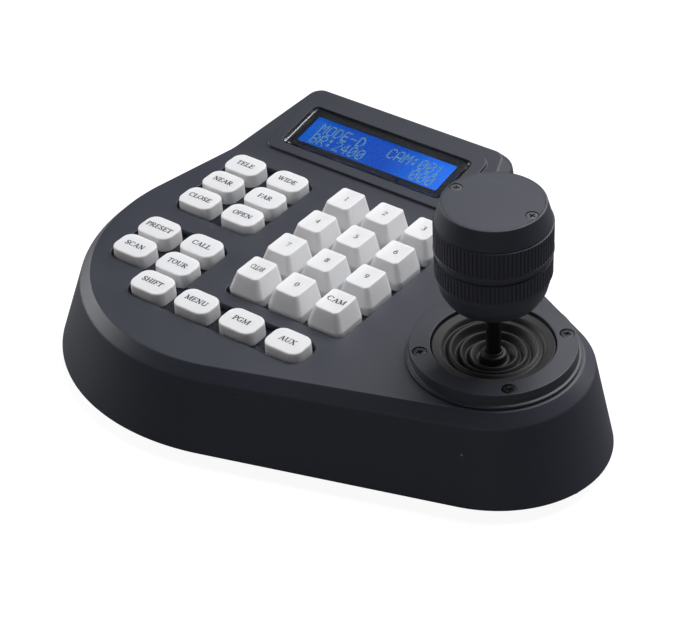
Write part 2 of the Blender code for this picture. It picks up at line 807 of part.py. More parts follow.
def make_display():
    centre = (LCD_U, LCD_S)
    bottom = PLATEAU_RISE - LENS_THICK + 0.2 * MM
    top = bottom + LENS_THICK
    chain = [(0, bottom), (0, top - 0.3 * MM), (0.35 * MM, top)]
    rings = [[display_point(centre[0] + x, centre[1] + y, n) for x, y in
              rounded_rect(LENS_W - 2 * inset, LENS_D - 2 * inset, 2 * MM - inset)]
             for inset, n in chain]
    loft("display_lens", rings, own_material("display_lens", "lens"))

    cap = -WALL - GAP
    lip = 1.0 * MM
    wall = 1.0 * MM
    outer = rounded_rect(BEZEL_W, BEZEL_D, 1.0 * MM, 3)
    window = rounded_rect(LCD_W, LCD_D, 0.6 * MM, 3)
    inside = rounded_rect(BEZEL_W - 2 * wall, BEZEL_D - 2 * wall, 0.6 * MM, 3)
    low = MODULE_TOP + GAP
    rings = [[display_point(centre[0] + x, centre[1] + y, n) for x, y in outline]
             for outline, n in ((outer, low), (outer, cap), (window, cap),
                                (window, cap - lip), (inside, cap - lip), (inside, low))]
    bm = bmesh.new()
    loft_into(bm, rings + rings[:1], False, False)
    finish("lcd_bezel", bm, own_material("lcd_bezel", "steel"))

    prism("lcd_glass", rounded_rect(BEZEL_W - 2 * wall - 2 * GAP,
                                    BEZEL_D - 2 * wall - 2 * GAP, 0.5 * MM, 3),
          low + GAP, cap - lip - GAP, display_point, own_material("lcd_glass", "lcd"), centre)
    board = prism("lcd_board", rounded_rect(MODULE_W, MODULE_D, 1 * MM, 3),
                  MODULE_TOP - BOARD_THICK, MODULE_TOP, display_point,
                  own_material("lcd_board", "board"), centre)
    return board


# ---------------------------------------------------------------- joystick

def stick_place(n):
    return panel_point(STICK_U, STICK_V, n)


def make_ring():
    """Bezel ring that clamps the boot; four countersunk screws hold it."""
    material = own_material("joystick_ring", "ring")
    lip = 1.6 * MM
    low = GAP
    profile = [(RING_HOLE + 2.4 * MM, low), (RING_BASE, low),
               (RING_RADIUS + 0.25 * MM, RING_HEIGHT - 0.5 * MM),
               (RING_RADIUS - 0.3 * MM, RING_HEIGHT), (RING_HOLE + 0.3 * MM, RING_HEIGHT),
               (RING_HOLE, RING_HEIGHT - 0.3 * MM), (RING_HOLE, low + lip),
               (RING_HOLE + 2.4 * MM, low + lip)]
    ring = revolve("joystick_ring", profile, material, stick_place(0), PANEL_TURN, 40)
    tools = []
    for u, v in ring_screw_places():
        tools.append(prism("hole", circle(1.4 * MM + GAP, 16), -1 * MM, 8 * MM,
                           panel_point, material, (u, v)))
        tools.append(prism("seat", circle(2.5 * MM + GAP, 16), RING_HEIGHT - 2.0 * MM,
                           8 * MM, panel_point, material, (u, v)))
    cut(ring, tools)
    tidy(ring)
    return ring


def boot_height(r):
    """Top surface of the rubber boot: a shallow bowl with concentric ripples."""
    rim, throat = RING_HOLE - 3.6 * MM, SHAFT_RADIUS + 2.6 * MM
    t = min(max((r - throat) / (rim - throat), 0.0), 1.0)
    bowl = -0.6 * MM + 4.2 * MM * t
    ripple = 0.7 * MM * math.sin(2 * math.pi * 3.5 * t) * math.sin(math.pi * t) ** 0.5
    return bowl + ripple


def make_boot():
    """Rubber boot from the clamped flange, over the rim band, down to the collar."""
    material = own_material("joystick_boot", "rubber")
    outer = RING_HOLE - 0.35 * MM
    rim, throat = RING_HOLE - 3.6 * MM, SHAFT_RADIUS + 2.6 * MM
    sleeve = SHAFT_RADIUS + 0.3 * MM
    steps = 12
    top = [(outer, RING_HEIGHT - 0.7 * MM)]
    for k in range(steps + 1):
        r = rim + (throat - rim) * k / steps
        top.append((r, boot_height(r)))
    top += [(throat - 0.2 * MM, 2.0 * MM), (sleeve, 2.2 * MM)]
    under = [(r, z - BOOT_THICK) for r, z in top[1:-2]]
    flange = RING_HOLE + 2.0 * MM
    profile = ([(sleeve, -1.5 * MM)] + list(reversed(under))
               + [(outer - BOOT_THICK, RING_HEIGHT - 0.8 * MM - BOOT_THICK),
                  (outer - BOOT_THICK, GAP), (flange, GAP), (flange, GAP + 1.2 * MM),
                  (outer, GAP + 1.2 * MM)] + top)
    return revolve("joystick_boot", profile, material, stick_place(0), PANEL_TURN, 24)


GIMBAL_OUT = 21.0 * MM
GIMBAL_IN = 14.0 * MM
YOKE_OUT = 12.0 * MM
YOKE_IN = 8.0 * MM
YOKE_HALF = 3.2 * MM
PIN_RADIUS = 2.0 * MM
HOUSING_DEPTH = 25.0 * MM


def stick_local(x, y, z):
    """Joystick coordinates (about the pivot, square with the panel) to world."""
    return panel_point(STICK_U + x, STICK_V + y, PIVOT_N + z)


def bar(name, radius, start, end, axis, material, segments=16):
    """Round bar between two places along u ('u') or v ('v') through the pivot."""
    rings = []
    for d in (start, end):
        if axis == 'u':
            rings.append([stick_local(d, x, y) for x, y in circle(radius, segments)])
        else:
            rings.append([stick_local(y, d, x) for x, y in circle(radius, segments)])
    return loft(name, rings, material)


def box(name, low, high, material):
    (x0, y0, z0), (x1, y1, z1) = low, high
    ring = [(x0, y0), (x1, y0), (x1, y1), (x0, y1)]
    return loft(name, [[stick_local(x, y, z) for x, y in ring] for z in (z0, z1)], material)


def make_gimbal():
    housing_material = own_material("gimbal_housing", "gimbal")
    top = -WALL - GAP - PIVOT_N
    low = top - HOUSING_DEPTH
    outer = rounded_rect(2 * GIMBAL_OUT, 2 * GIMBAL_OUT, 3.2 * MM, 4)
    inner = rounded_rect(2 * GIMBAL_IN, 2 * GIMBAL_IN, 1.0 * MM, 4)
    rings = [[stick_local(x, y, z) for x, y in ring] for ring, z in
             ((outer, low), (outer, top), (inner, top), (inner, low))]
    bm = bmesh.new()
    loft_into(bm, rings + rings[:1], False, False)
    housing = finish("gimbal_housing", bm, housing_material)
    tools = [bar("bore", PIN_RADIUS + GAP, -GIMBAL_OUT - 5 * MM, GIMBAL_OUT + 5 * MM, 'u',
                 housing_material, 20),
             box("window", (-9 * MM, -GIMBAL_OUT - 5 * MM, -14 * MM),
                 (9 * MM, -GIMBAL_IN + 2 * MM, 30 * MM), housing_material)]
    for a in (-1, 1):
        for b in (-1, 1):
            ring = circle(1.4 * MM + GAP, 12)
            rings = [[stick_local(a * RING_SCREW + x, b * RING_SCREW + y, z) for x, y in ring]
                     for z in (top - 12 * MM, top + 5 * MM)]
            tools.append(loft("hole", rings, housing_material))
    cut(housing, tools)
    tidy(housing)

    yoke_material = own_material("gimbal_ring", "gimbal")
    outer = rounded_rect(2 * YOKE_OUT, 2 * YOKE_OUT, 2.0 * MM, 4)
    inner = rounded_rect(2 * YOKE_IN, 2 * YOKE_IN, 1.0 * MM, 4)
    rings = [[stick_local(x, y, z) for x, y in ring] for ring, z in
             ((outer, -YOKE_HALF), (outer, YOKE_HALF), (inner, YOKE_HALF),
              (inner, -YOKE_HALF))]
    bm = bmesh.new()
    loft_into(bm, rings + rings[:1], False, False)
    yoke = finish("gimbal_ring", bm, yoke_material)
    join(yoke, [bar("pin", PIN_RADIUS, YOKE_OUT - 1.5 * MM, GIMBAL_OUT + 4 * MM, 'u',
                    yoke_material),
                bar("pin", PIN_RADIUS, -YOKE_OUT + 1.5 * MM, -GIMBAL_OUT + 2 * MM, 'u',
                    yoke_material)])
    cut(yoke, [bar("bore", PIN_RADIUS + GAP, -YOKE_OUT - 5 * MM, YOKE_OUT + 5 * MM, 'v',
                   yoke_material, 20)])
    tidy(yoke)
    set_origin(yoke, stick_local(0, 0, 0))

    make_pots()
    make_shaft()


def make_pots():
    """Angle sensors: one on the housing wall, one carried by the gimbal ring."""
    material = own_material("pot_x", "socket")
    half = 5.2 * MM
    pot = box("pot_x", (GIMBAL_OUT + GAP, -half, -half), (GIMBAL_OUT + 7 * MM, half, half),
              material)
    cut(pot, [bar("bore", PIN_RADIUS + GAP, 0, GIMBAL_OUT + 5 * MM, 'u', material, 20)])
    tidy(pot)
    material = own_material("pot_y", "socket")
    half = 4.2 * MM
    pot = box("pot_y", (-half, -YOKE_OUT - 5.5 * MM, -half), (half, -YOKE_OUT - GAP, half),
              material)
    cut(pot, [bar("bore", PIN_RADIUS + GAP, -YOKE_OUT - 4 * MM, 0, 'v', material, 20)])
    tidy(pot)
    set_origin(pot, stick_local(0, 0, 0))


def make_shaft():
    """Steel stick with the pivot block and its two pins in one piece."""
    material = own_material("joystick_shaft", "steel")
    top = KNOB_BOTTOM + 26 * MM - PIVOT_N
    half = YOKE_IN - 2.2 * MM
    shaft = box("joystick_shaft", (-half, -half, -4.2 * MM), (half, half, 4.2 * MM), material)
    rod = [[stick_local(x, y, z) for x, y in circle(SHAFT_RADIUS, 24)]
           for z in (-9 * MM, top)]
    join(shaft, [loft("rod", rod, material),
                 bar("pin", PIN_RADIUS, -YOKE_OUT - 3.6 * MM, -half + 1 * MM, 'v', material),
                 bar("pin", PIN_RADIUS, half - 1 * MM, YOKE_OUT, 'v', material)])
    tidy(shaft)
    for polygon in shaft.data.polygons:
        polygon.use_smooth = True
    smooth_by_angle(shaft.data)
    set_origin(shaft, stick_local(0, 0, 0))


def set_origin(obj, place):
    obj.data.transform(Matrix.Translation(obj.location - place))
    obj.location = place


def make_knob():
    """Two shells held together by two long screws; they twist together on the shaft."""
    bore = SHAFT_RADIUS + GAP
    wall = 2.2 * MM
    base = [(bore, KNOB_BOTTOM), (12.5 * MM, KNOB_BOTTOM), (15.5 * MM, KNOB_BOTTOM + 1.8 * MM),
            (17.6 * MM, KNOB_BOTTOM + 5.6 * MM), (18.4 * MM, KNOB_BOTTOM + 9.5 * MM),
            (18.6 * MM, KNOB_BOTTOM + 11.4 * MM), (KNOB_RADIUS - 0.2 * MM, KNOB_SPLIT - 1 * MM),
            (KNOB_RADIUS - 0.2 * MM, KNOB_SPLIT), (KNOB_RADIUS - wall, KNOB_SPLIT),
            (KNOB_RADIUS - wall - 0.8 * MM, KNOB_BOTTOM + 9 * MM),
            (KNOB_RADIUS - wall - 2 * MM, KNOB_BOTTOM + 5 * MM),
            (bore + 3 * MM, KNOB_BOTTOM + 3 * MM), (bore + 3 * MM, KNOB_BOTTOM + 16 * MM),
            (bore, KNOB_BOTTOM + 16 * MM)]
    lower_material = own_material("knob_lower", "knob")
    lower = revolve("knob_lower", base, lower_material, stick_place(0), PANEL_TURN, 32)
    posts, holes = [], []
    for side in (-1, 1):
        centre = (STICK_U + side * KNOB_SCREW, STICK_V)
        posts.append(prism("post", circle(2.4 * MM, 12), KNOB_BOTTOM + 4 * MM,
                           KNOB_SPLIT + 5 * MM, panel_point, lower_material, centre))
        holes.append(prism("hole", circle(1.1 * MM + GAP, 12), KNOB_SPLIT - 5 * MM,
                           KNOB_SPLIT + 8 * MM, panel_point, lower_material, centre))
    join(lower, posts)
    cut(lower, holes)
    tidy(lower)

    split = KNOB_SPLIT + GAP
    cap = [(0, KNOB_TOP), (0, KNOB_TOP - 3 * MM), (KNOB_TOP_RADIUS - 2.6 * MM, KNOB_TOP - 3 * MM),
           (KNOB_RADIUS - wall, KNOB_TOP - 8 * MM), (KNOB_RADIUS - wall, split),
           (KNOB_RADIUS + 0.1 * MM, split), (KNOB_RADIUS + 0.1 * MM, split + 1 * MM),
           (KNOB_RADIUS - 0.2 * MM, split + 1.3 * MM), (KNOB_RADIUS, KNOB_TOP - 7.2 * MM),
           (KNOB_RADIUS - 0.4 * MM, KNOB_TOP - 5 * MM), (KNOB_TOP_RADIUS + 0.3 * MM, KNOB_TOP - 0.5 * MM),
           (KNOB_TOP_RADIUS - 0.3 * MM, KNOB_TOP)]
    upper_material = own_material("knob_upper", "knob")
    upper = revolve("knob_upper", cap, upper_material, stick_place(0), PANEL_TURN, 32)
    tools = []
    for side in (-1, 1):
        centre = (STICK_U + side * KNOB_SCREW, STICK_V)
        tools.append(prism("hole", circle(1.1 * MM + GAP, 12), split, KNOB_TOP + 3 * MM,
                           panel_point, upper_material, centre))
        tools.append(prism("seat", circle(2.0 * MM + GAP, 16), KNOB_TOP - 1.6 * MM,
                           KNOB_TOP + 3 * MM, panel_point, upper_material, centre))
    cut(upper, tools)
    tidy(upper)


# ---------------------------------------------------------------- screws

def make_screw(name, head_radius, head_depth, radius, length, place, turn):
    """Screw with its head up at the local origin and a cross recess."""
    profile = [(0, 0), (head_radius, -0.2 * MM), (head_radius, -head_depth),
               (radius, -head_depth), (radius, -length + 0.8 * MM), (0, -length)]
    material = own_material(name, "screw")
    screw = revolve(name, profile, material, Vector((0, 0, 0)), Matrix.Identity(3), 12)
    arm, width = head_radius * 0.55, head_radius * 0.13
    tools = []
    for angle in (0, math.pi / 2):
        c, s = math.cos(angle), math.sin(angle)
        ring = [(-arm, -width), (arm, -width), (arm, width), (-arm, width)]
        ring = [(x * c - y * s, x * s + y * c) for x, y in ring]
        rings = [[Vector((x, y, z)) for x, y in ring] for z in (-head_depth * 0.6, 1 * MM)]
        tools.append(loft("slot", rings, material))
    cut(screw, tools)
    tidy(screw, 0.00001)
    screw.data.transform(turn.to_4x4())
    screw.location = place
    return screw


def make_screws():
    for k, (u, v) in enumerate(ring_screw_places()):
        make_screw(f"ring_screw_{k + 1}", 2.5 * MM, 1.3 * MM, 1.4 * MM, 14 * MM,
                   panel_point(u, v, RING_HEIGHT - 0.3 * MM), PANEL_TURN)
    for side, number in ((-1, 1), (1, 2)):
        place = panel_point(STICK_U + side * KNOB_SCREW, STICK_V, KNOB_TOP - 0.1 * MM)
        make_screw(f"knob_screw_{number}", 2.0 * MM, 1.1 * MM, 1.1 * MM, 20 * MM, place,
                   PANEL_TURN)
    flip = Matrix.Rotation(math.pi, 3, 'X')
    for k, (u, v) in enumerate(CASE_SCREWS):
        x, y = ground_xy(u, v)
        make_screw(f"case_screw_{k + 1}", 3.0 * MM, 1.0 * MM, 1.5 * MM, 12 * MM,
                   Vector((x, y, RIM_Z + 0.2 * MM)), flip)


def main():
    clear_scene()
    make_top_cover()
    make_bottom_cover()
    make_feet()
    make_keys()
    make_key_mat()
    make_main_board()
    make_display()
    make_ring()
    make_boot()
    make_gimbal()
    make_knob()
    make_jack()
    make_socket()
    make_screws()


main()
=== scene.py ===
"""Finished surfaces of the desk-top camera hand controller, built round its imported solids.

The key panel is a tilted plane with coordinates u (right), v (back, up the slope) and
n (out of the panel).  Behind the bend line the display plane rises more steeply, with s
measured up its slope.  Lengths are metres unless a property says otherwise.
"""
import json
import math

import bmesh
import bpy
import numpy as np
from mathutils import Euler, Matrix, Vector
from mathutils.geometry import tessellate_polygon


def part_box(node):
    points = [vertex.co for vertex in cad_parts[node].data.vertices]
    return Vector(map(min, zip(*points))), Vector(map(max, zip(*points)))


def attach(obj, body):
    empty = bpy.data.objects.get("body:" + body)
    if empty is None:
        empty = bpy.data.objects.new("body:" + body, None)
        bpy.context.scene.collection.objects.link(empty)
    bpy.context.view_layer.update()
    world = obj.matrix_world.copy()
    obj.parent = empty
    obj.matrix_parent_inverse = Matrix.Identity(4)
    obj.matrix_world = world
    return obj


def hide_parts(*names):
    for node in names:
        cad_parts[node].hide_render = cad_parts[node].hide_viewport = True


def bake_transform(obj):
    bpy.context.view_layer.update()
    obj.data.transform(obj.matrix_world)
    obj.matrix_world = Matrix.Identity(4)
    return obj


bl_info = {
    "name": "Camera hand controller",
    "version": (1, 0, 0),
    "blender": (4, 5, 0),
    "location": "View3D > Sidebar > Controller",
    "description": "Builds the finished pieces of a camera hand controller",
    "category": "Add Mesh",
}

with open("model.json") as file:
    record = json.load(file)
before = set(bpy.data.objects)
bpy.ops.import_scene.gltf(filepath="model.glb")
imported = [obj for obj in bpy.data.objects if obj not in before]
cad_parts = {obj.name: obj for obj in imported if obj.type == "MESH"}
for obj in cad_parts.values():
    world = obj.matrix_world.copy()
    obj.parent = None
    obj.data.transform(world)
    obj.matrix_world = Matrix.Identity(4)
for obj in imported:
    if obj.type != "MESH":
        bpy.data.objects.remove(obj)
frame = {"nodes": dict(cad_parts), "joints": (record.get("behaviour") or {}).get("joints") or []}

MM = 0.001

# ---- planes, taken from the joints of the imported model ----
STICK_JOINT = next(j for j in frame["joints"] if j["name"] == "tilt_left_right")
PANEL_TILT = math.asin(STICK_JOINT["axis"][2])
DISPLAY_TILT = math.radians(10.2)
PIVOT = np.array(STICK_JOINT["pos_m"])

# ---- case ----
BEND_V = 48.0 * MM
WALL = 2.5 * MM
CHAMFER = 4.0 * MM
FLARE = 8.0 * MM
RIM_Z = 4.8 * MM
REAR_V = 90.6 * MM
RIM_OUT = 1.5 * MM
# Inner side of the wall section, in shares of the wall's thickness.
TOP_MITRE = 0.414       # inwards at the panel's edge: the tangent of half a 45 degree turn
WALL_LEVEL = 1.04       # level width of the wall that slopes outwards
SHOULDER_OUT = 0.896    # corner under the chamfer, inwards
SHOULDER_DOWN = 0.518   # and downwards

# ---- circles that the panel's outline runs round ----
LOBE_CENTRE, LOBE_RADIUS = (-34.0 * MM, 0.5 * MM), 64.5 * MM
STICK_LOBE_RADIUS = 29.9 * MM
WAIST_CENTRE, WAIST_RADIUS = (52.0 * MM, 82.5 * MM), 42.0 * MM
REAR_RIGHT_U, REAR_LEFT_U, REAR_RADIUS = 0.8 * MM, -78.0 * MM, 5.0 * MM

# ---- joystick ----
STICK_U, STICK_V, PIVOT_N = 62.0 * MM, -3.0 * MM, -14.0 * MM
RING_RADIUS = 27.9 * MM
RING_BASE = 29.0 * MM
RING_HOLE = 20.8 * MM
RING_HEIGHT = 5.0 * MM
RING_SCREW = 17.4 * MM
SHAFT_RADIUS = 2.5 * MM
KNOB_RADIUS = 19.2 * MM
KNOB_TOP_RADIUS = 16.9 * MM
KNOB_BOTTOM = 23.0 * MM
KNOB_SPLIT = 42.8 * MM
KNOB_TOP = 60.8 * MM
KNOB_SCREW = 14.2 * MM

# ---- keys ----
KEY_W, KEY_D, KEY_CORNER, KEY_TOP = 15.2 * MM, 11.6 * MM, 4.0 * MM, 3.1 * MM
KEY_PITCH_U, KEY_PITCH_V = 19.9 * MM, 13.2 * MM
KEYS_U, KEYS_V = -76.1 * MM, 37.7 * MM
GROUP_STEP = 3 * KEY_PITCH_V + 9.6 * MM
KEY_TRAVEL, PAD_TRAVEL = 1.8 * MM, 3.0 * MM
PAD_BASE_W, PAD_BASE_D, PAD_LEAN = 14.6 * MM, 14.2 * MM, 1.1 * MM
PAD_TOP_W, PAD_TOP_D = 9.6 * MM, 11.8 * MM
PAD_TOP, PAD_PITCH = 7.5 * MM, 17.05 * MM
PAD_U, PAD_V = -27.0 * MM, 34.1 * MM
KEY_CLEAR, KEY_SKIRT = 1.0 * MM, -3.0 * MM
STEM_RADIUS, STEM_BOTTOM = 2.2 * MM, -8.7 * MM

# ---- display ----
LCD_U, LCD_S = -39.0 * MM, 22.0 * MM
LCD_W, LCD_D = 65.5 * MM, 16.4 * MM
LENS_W, LENS_D, LENS_THICK = 72.4 * MM, 21.8 * MM, 1.6 * MM
LENS_GAP = 0.5 * MM
PLATEAU_W, PLATEAU_D, PLATEAU_RISE = 83.4 * MM, 31.0 * MM, 1.0 * MM

# ---- sockets ----
JACK_U, SOCKET_U, SOCKET_Z = -18.0 * MM, -60.0 * MM, 17.0 * MM
JACK_W, JACK_H, SOCKET_W, SOCKET_H = 9.0 * MM, 11.0 * MM, 16.0 * MM, 13.4 * MM

# ---- camera, measured from the stick's pivot ----
CAMERA_OFFSET = (0.293918, -0.475818, 0.397825)
CAMERA_AZIMUTH, CAMERA_ELEVATION, CAMERA_ROLL = 36.956, 33.543, 0.2146
CAMERA_LENS, CAMERA_SENSOR = 108.666, 36.0

SIN_P, COS_P = math.sin(PANEL_TILT), math.cos(PANEL_TILT)
SIN_D, COS_D = math.sin(DISPLAY_TILT), math.cos(DISPLAY_TILT)


# ---------------------------------------------------------------- properties

def length(name, description, default, low=0.0, high=0.05):
    return bpy.props.FloatProperty(name=name, description=description, default=default,
                                   min=low, max=high, precision=5, unit="LENGTH")


def colour(name, description, default):
    return bpy.props.FloatVectorProperty(name=name, description=description, default=default,
                                         size=3, min=0.0, max=1.0, subtype="COLOR")


class ControllerSizes(bpy.types.PropertyGroup):
    """Sizes of the fine shape that a user may change."""
    panel_edge: length("Panel edge round", "Radius where the panel meets the chamfer", 0.9 * MM)
    belly_edge: length("Wall edge round", "Radius where the chamfer meets the wall", 2.4 * MM)
    opening_lip: length("Opening lip", "Radius round the key openings", 0.3 * MM)
    key_edge: length("Key edge round", "Radius round the top of a function key", 0.8 * MM)
    key_crown: length("Key crown", "Rise of a function key's top in its middle", 0.18 * MM)
    pad_edge: length("Keypad edge round", "Radius round the top of a keypad key", 0.55 * MM)
    pad_dish: length("Keypad dish", "Depth of the hollow across a keypad key", 0.7 * MM)
    legend_height: length("Legend height", "Height of a printed capital", 2.3 * MM)
    knurl_depth: length("Knurl depth", "Depth of the grooves of the knob's grip", 0.45 * MM)
    knurl_ribs: bpy.props.IntProperty(name="Knurl ribs", default=88, min=12, max=120,
                                      description="Ribs round the knob's grip")
    ripple: length("Boot ripple", "Height of the boot's ripples", 0.95 * MM)


class ControllerColours(bpy.types.PropertyGroup):
    """Colours of the finishes that a user may change."""
    case: colour("Case", "Moulded charcoal case", (0.026, 0.029, 0.044))
    base: colour("Base", "Bottom cover", (0.022, 0.022, 0.025))
    key: colour("Keys", "Off-white key caps", (0.75, 0.75, 0.765))
    legend: colour("Legends", "Printed legends", (0.015, 0.015, 0.018))
    ring: colour("Ring", "Joystick ring", (0.027, 0.029, 0.041))
    knob: colour("Knob", "Joystick knob", (0.031, 0.034, 0.050))
    boot: colour("Boot", "Rubber boot", (0.006, 0.006, 0.008))
    screw: colour("Screws", "Blackened screws", (0.05, 0.05, 0.055))
    display: colour("Display", "Lit display", (0.002, 0.072, 0.50))
    dots: colour("Characters", "Display dots", (0.09, 0.22, 0.30))


# ---------------------------------------------------------------- places

def panel(points):
    """World places of panel points (..., 3) of u, v, n."""
    u, v, n = np.moveaxis(np.asarray(points, float), -1, 0)
    dv, dn = v - STICK_V, n - PIVOT_N
    return np.stack([PIVOT[0] + u - STICK_U, PIVOT[1] + dv * COS_P - dn * SIN_P,
                     PIVOT[2] + dv * SIN_P + dn * COS_P], -1)


def display(points):
    """World places of display points (..., 3) of u, s, n."""
    u, s, n = np.moveaxis(np.asarray(points, float), -1, 0)
    return panel(np.stack([u, BEND_V + s * COS_D - n * SIN_D, s * SIN_D + n * COS_D], -1))


def lay(outline, height):
    """Points (N, 2) lifted to a height, which may differ from point to point."""
    return np.concatenate([outline, np.broadcast_to(height, len(outline))[:, None]], 1)


# ---------------------------------------------------------------- outlines

def rounded_polygon(corners, radii, grow=0.0, steps=6):
    """Anticlockwise polygon moved out by grow, each corner an arc of steps parts.

    A corner moved out lies at P + grow (n1 + n2) / (1 + n1.n2) for the normals n1, n2 of
    its sides.  An outer corner's radius grows with it and an inner corner's shrinks.
    """
    corners = np.asarray(corners, float)
    ahead = np.roll(corners, -1, 0) - corners
    ahead /= np.linalg.norm(ahead, axis=1)[:, None]
    normal = np.stack([ahead[:, 1], -ahead[:, 0]], 1)
    before = np.roll(normal, 1, 0)
    share = 1 + (normal * before).sum(1)
    moved = corners + grow * (normal + before) / share[:, None]
    back = np.roll(ahead, 1, 0)
    turn = back[:, 0] * ahead[:, 1] - back[:, 1] * ahead[:, 0]
    radius = np.maximum(np.broadcast_to(radii, len(corners)) + np.sign(turn) * grow, 0.05 * MM)
    return fillet(moved, radius, steps, 0, True)


def rectangle(width, depth, radius, grow=0.0, steps=6):
    w, d = width / 2, depth / 2
    return rounded_polygon([(w, -d), (w, d), (-w, d), (-w, -d)], radius, grow, steps)


def circle(radius, count):
    a = np.arange(count) * 2 * math.pi / count
    return np.stack([radius * np.cos(a), radius * np.sin(a)], 1)


def fillet(points, radii, steps=4, guard=0.0, closed=False):
    """Chains of corner points (..., K, D) with each corner replaced by an arc.

    The arc of radius r leaves its arms at r / tan(half) from the corner, for half the
    angle between them, and swings from one to the other about its centre.  A guard adds
    one more point on each arm just outside the arc, which keeps flat sides flat.
    """
    points = np.asarray(points, float)
    if closed:
        corner, prior, after = points, np.roll(points, 1, -2), np.roll(points, -1, -2)
    else:
        corner, prior, after = points[..., 1:-1, :], points[..., :-2, :], points[..., 2:, :]
    arm_a, arm_b = prior - corner, after - corner
    long_a = np.linalg.norm(arm_a, axis=-1, keepdims=True)
    long_b = np.linalg.norm(arm_b, axis=-1, keepdims=True)
    arm_a, arm_b = arm_a / long_a, arm_b / long_b
    half = 0.5 * np.arccos(np.clip((arm_a * arm_b).sum(-1, keepdims=True), -1, 1 - 1e-9))
    half = np.minimum(half, math.pi / 2 - 1e-4)
    radius = np.broadcast_to(np.asarray(radii, float)[..., None], half.shape)
    reach = np.minimum(radius / np.tan(half), 0.45 * np.minimum(long_a, long_b))
    radius = reach * np.tan(half)
    middle = arm_a + arm_b
    middle /= np.maximum(np.linalg.norm(middle, axis=-1, keepdims=True), 1e-6)
    centre = corner + middle * radius / np.sin(half)
    first, last = corner + arm_a * reach - centre, corner + arm_b * reach - centre
    sweep = (math.pi - 2 * half)[..., None, :]
    t = np.linspace(0, 1, steps + 1)[:, None]
    arc = (np.sin((1 - t) * sweep) * first[..., None, :]
           + np.sin(t * sweep) * last[..., None, :]) / np.sin(sweep) + centre[..., None, :]
    if guard:
        room_a = np.minimum(guard, 0.25 * (long_a - reach))
        room_b = np.minimum(guard, 0.25 * (long_b - reach))
        arc = np.concatenate([(corner + arm_a * (reach + room_a))[..., None, :], arc,
                              (corner + arm_b * (reach + room_b))[..., None, :]], -2)
    arc = arc.reshape(*arc.shape[:-3], -1, arc.shape[-1])
    if closed:
        return arc
    return np.concatenate([points[..., :1, :], arc, points[..., -1:, :]], -2)


# ---------------------------------------------------------------- meshes

class Skin:
    """Points and faces gathered for one mesh."""

    def __init__(self):
        self.points, self.faces, self.count = [], [], 0

    def add(self, points):
        points = np.asarray(points, float)
        self.points.append(points.reshape(-1, 3))
        index = self.count + np.arange(points[..., 0].size).reshape(points.shape[:-1])
        self.count += index.size
        return index

    def quads(self, grid, wrap=True, loop=False):
        """Faces between the rows of an index grid, closed round each row if wrap."""
        if wrap:
            grid = np.concatenate([grid, grid[:, :1]], 1)
        if loop:
            grid = np.concatenate([grid, grid[:1]], 0)
        faces = np.stack([grid[:-1, :-1], grid[:-1, 1:], grid[1:, 1:], grid[1:, :-1]], -1)
        self.faces += faces.reshape(-1, 4).tolist()

    def rings(self, points, loop=False):
        """Skin closed rings (R, N, 3) one after another; returns their indices."""
        grid = self.add(points)
        self.quads(grid, True, loop)
        return grid

    def pole(self, ring, centre):
        """Close a ring onto one middle point."""
        middle = int(self.add([centre])[0])
        after = np.roll(ring, -1)
        self.faces += np.stack([ring, after, np.full_like(ring, middle)], 1).tolist()

    def plate(self, outer, holes=(), axes=(0, 1)):
        """Flat face between an outer ring of indices and the rings of its holes."""
        every = np.concatenate(self.points)
        order = np.concatenate([outer, *holes]) if len(holes) else np.asarray(outer)
        loops = [[Vector((*every[k, list(axes)], 0)) for k in ring] for ring in (outer, *holes)]
        self.faces += [[int(order[k]) for k in face] for face in tessellate_polygon(loops)]

    def finish(self, name, finishes, body, slot=None, replaces=(), sharp=60.0):
        mesh = bpy.data.meshes.new(name)
        mesh.from_pydata(np.concatenate(self.points).tolist(), [], self.faces)
        shape = bmesh.new()
        shape.from_mesh(mesh)
        bmesh.ops.remove_doubles(shape, verts=shape.verts, dist=1e-7)
        bmesh.ops.dissolve_degenerate(shape, edges=shape.edges, dist=1e-7)
        bmesh.ops.recalc_face_normals(shape, faces=shape.faces)
        shape.to_mesh(mesh)
        shape.free()
        mesh.polygons.foreach_set("use_smooth", np.ones(len(mesh.polygons), bool))
        mesh.set_sharp_from_angle(angle=math.radians(sharp))
        mesh.materials.append(finishes)
        piece = bpy.data.objects.new(name, mesh)
        bpy.context.scene.collection.objects.link(piece)
        if body:
            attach(piece, body)
        if replaces:
            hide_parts(*replaces)
        return piece


def chain_rings(corner_rings, radii, steps=4, guard=0.25 * MM):
    """Corner rings (K, N, 3), filleted along each of the N lines they trace."""
    lines = np.moveaxis(np.asarray(corner_rings, float), 0, 1)
    rounded = fillet(lines, np.broadcast_to(radii, (lines.shape[0], len(radii))), steps, guard)
    return np.moveaxis(rounded, 1, 0)


def turned(skin, profile, segments, centre=(0.0, 0.0), place=panel, loop=False, radial=None):
    """Profile (K, 2) of radius and height swept round an upright axis of the panel.

    The radius may be changed by radial(angle, height), which gives the amount taken off.
    """
    angle = np.arange(segments) * 2 * math.pi / segments
    radius = np.repeat(profile[:, :1], segments, 1)
    height = np.repeat(profile[:, 1:], segments, 1)
    if radial is not None:
        radius = radius - radial(angle[None, :], height)
    points = np.stack([centre[0] + radius * np.cos(angle), centre[1] + radius * np.sin(angle),
                       height], -1)
    return skin.rings(place(points), loop)


# ---------------------------------------------------------------- finishes

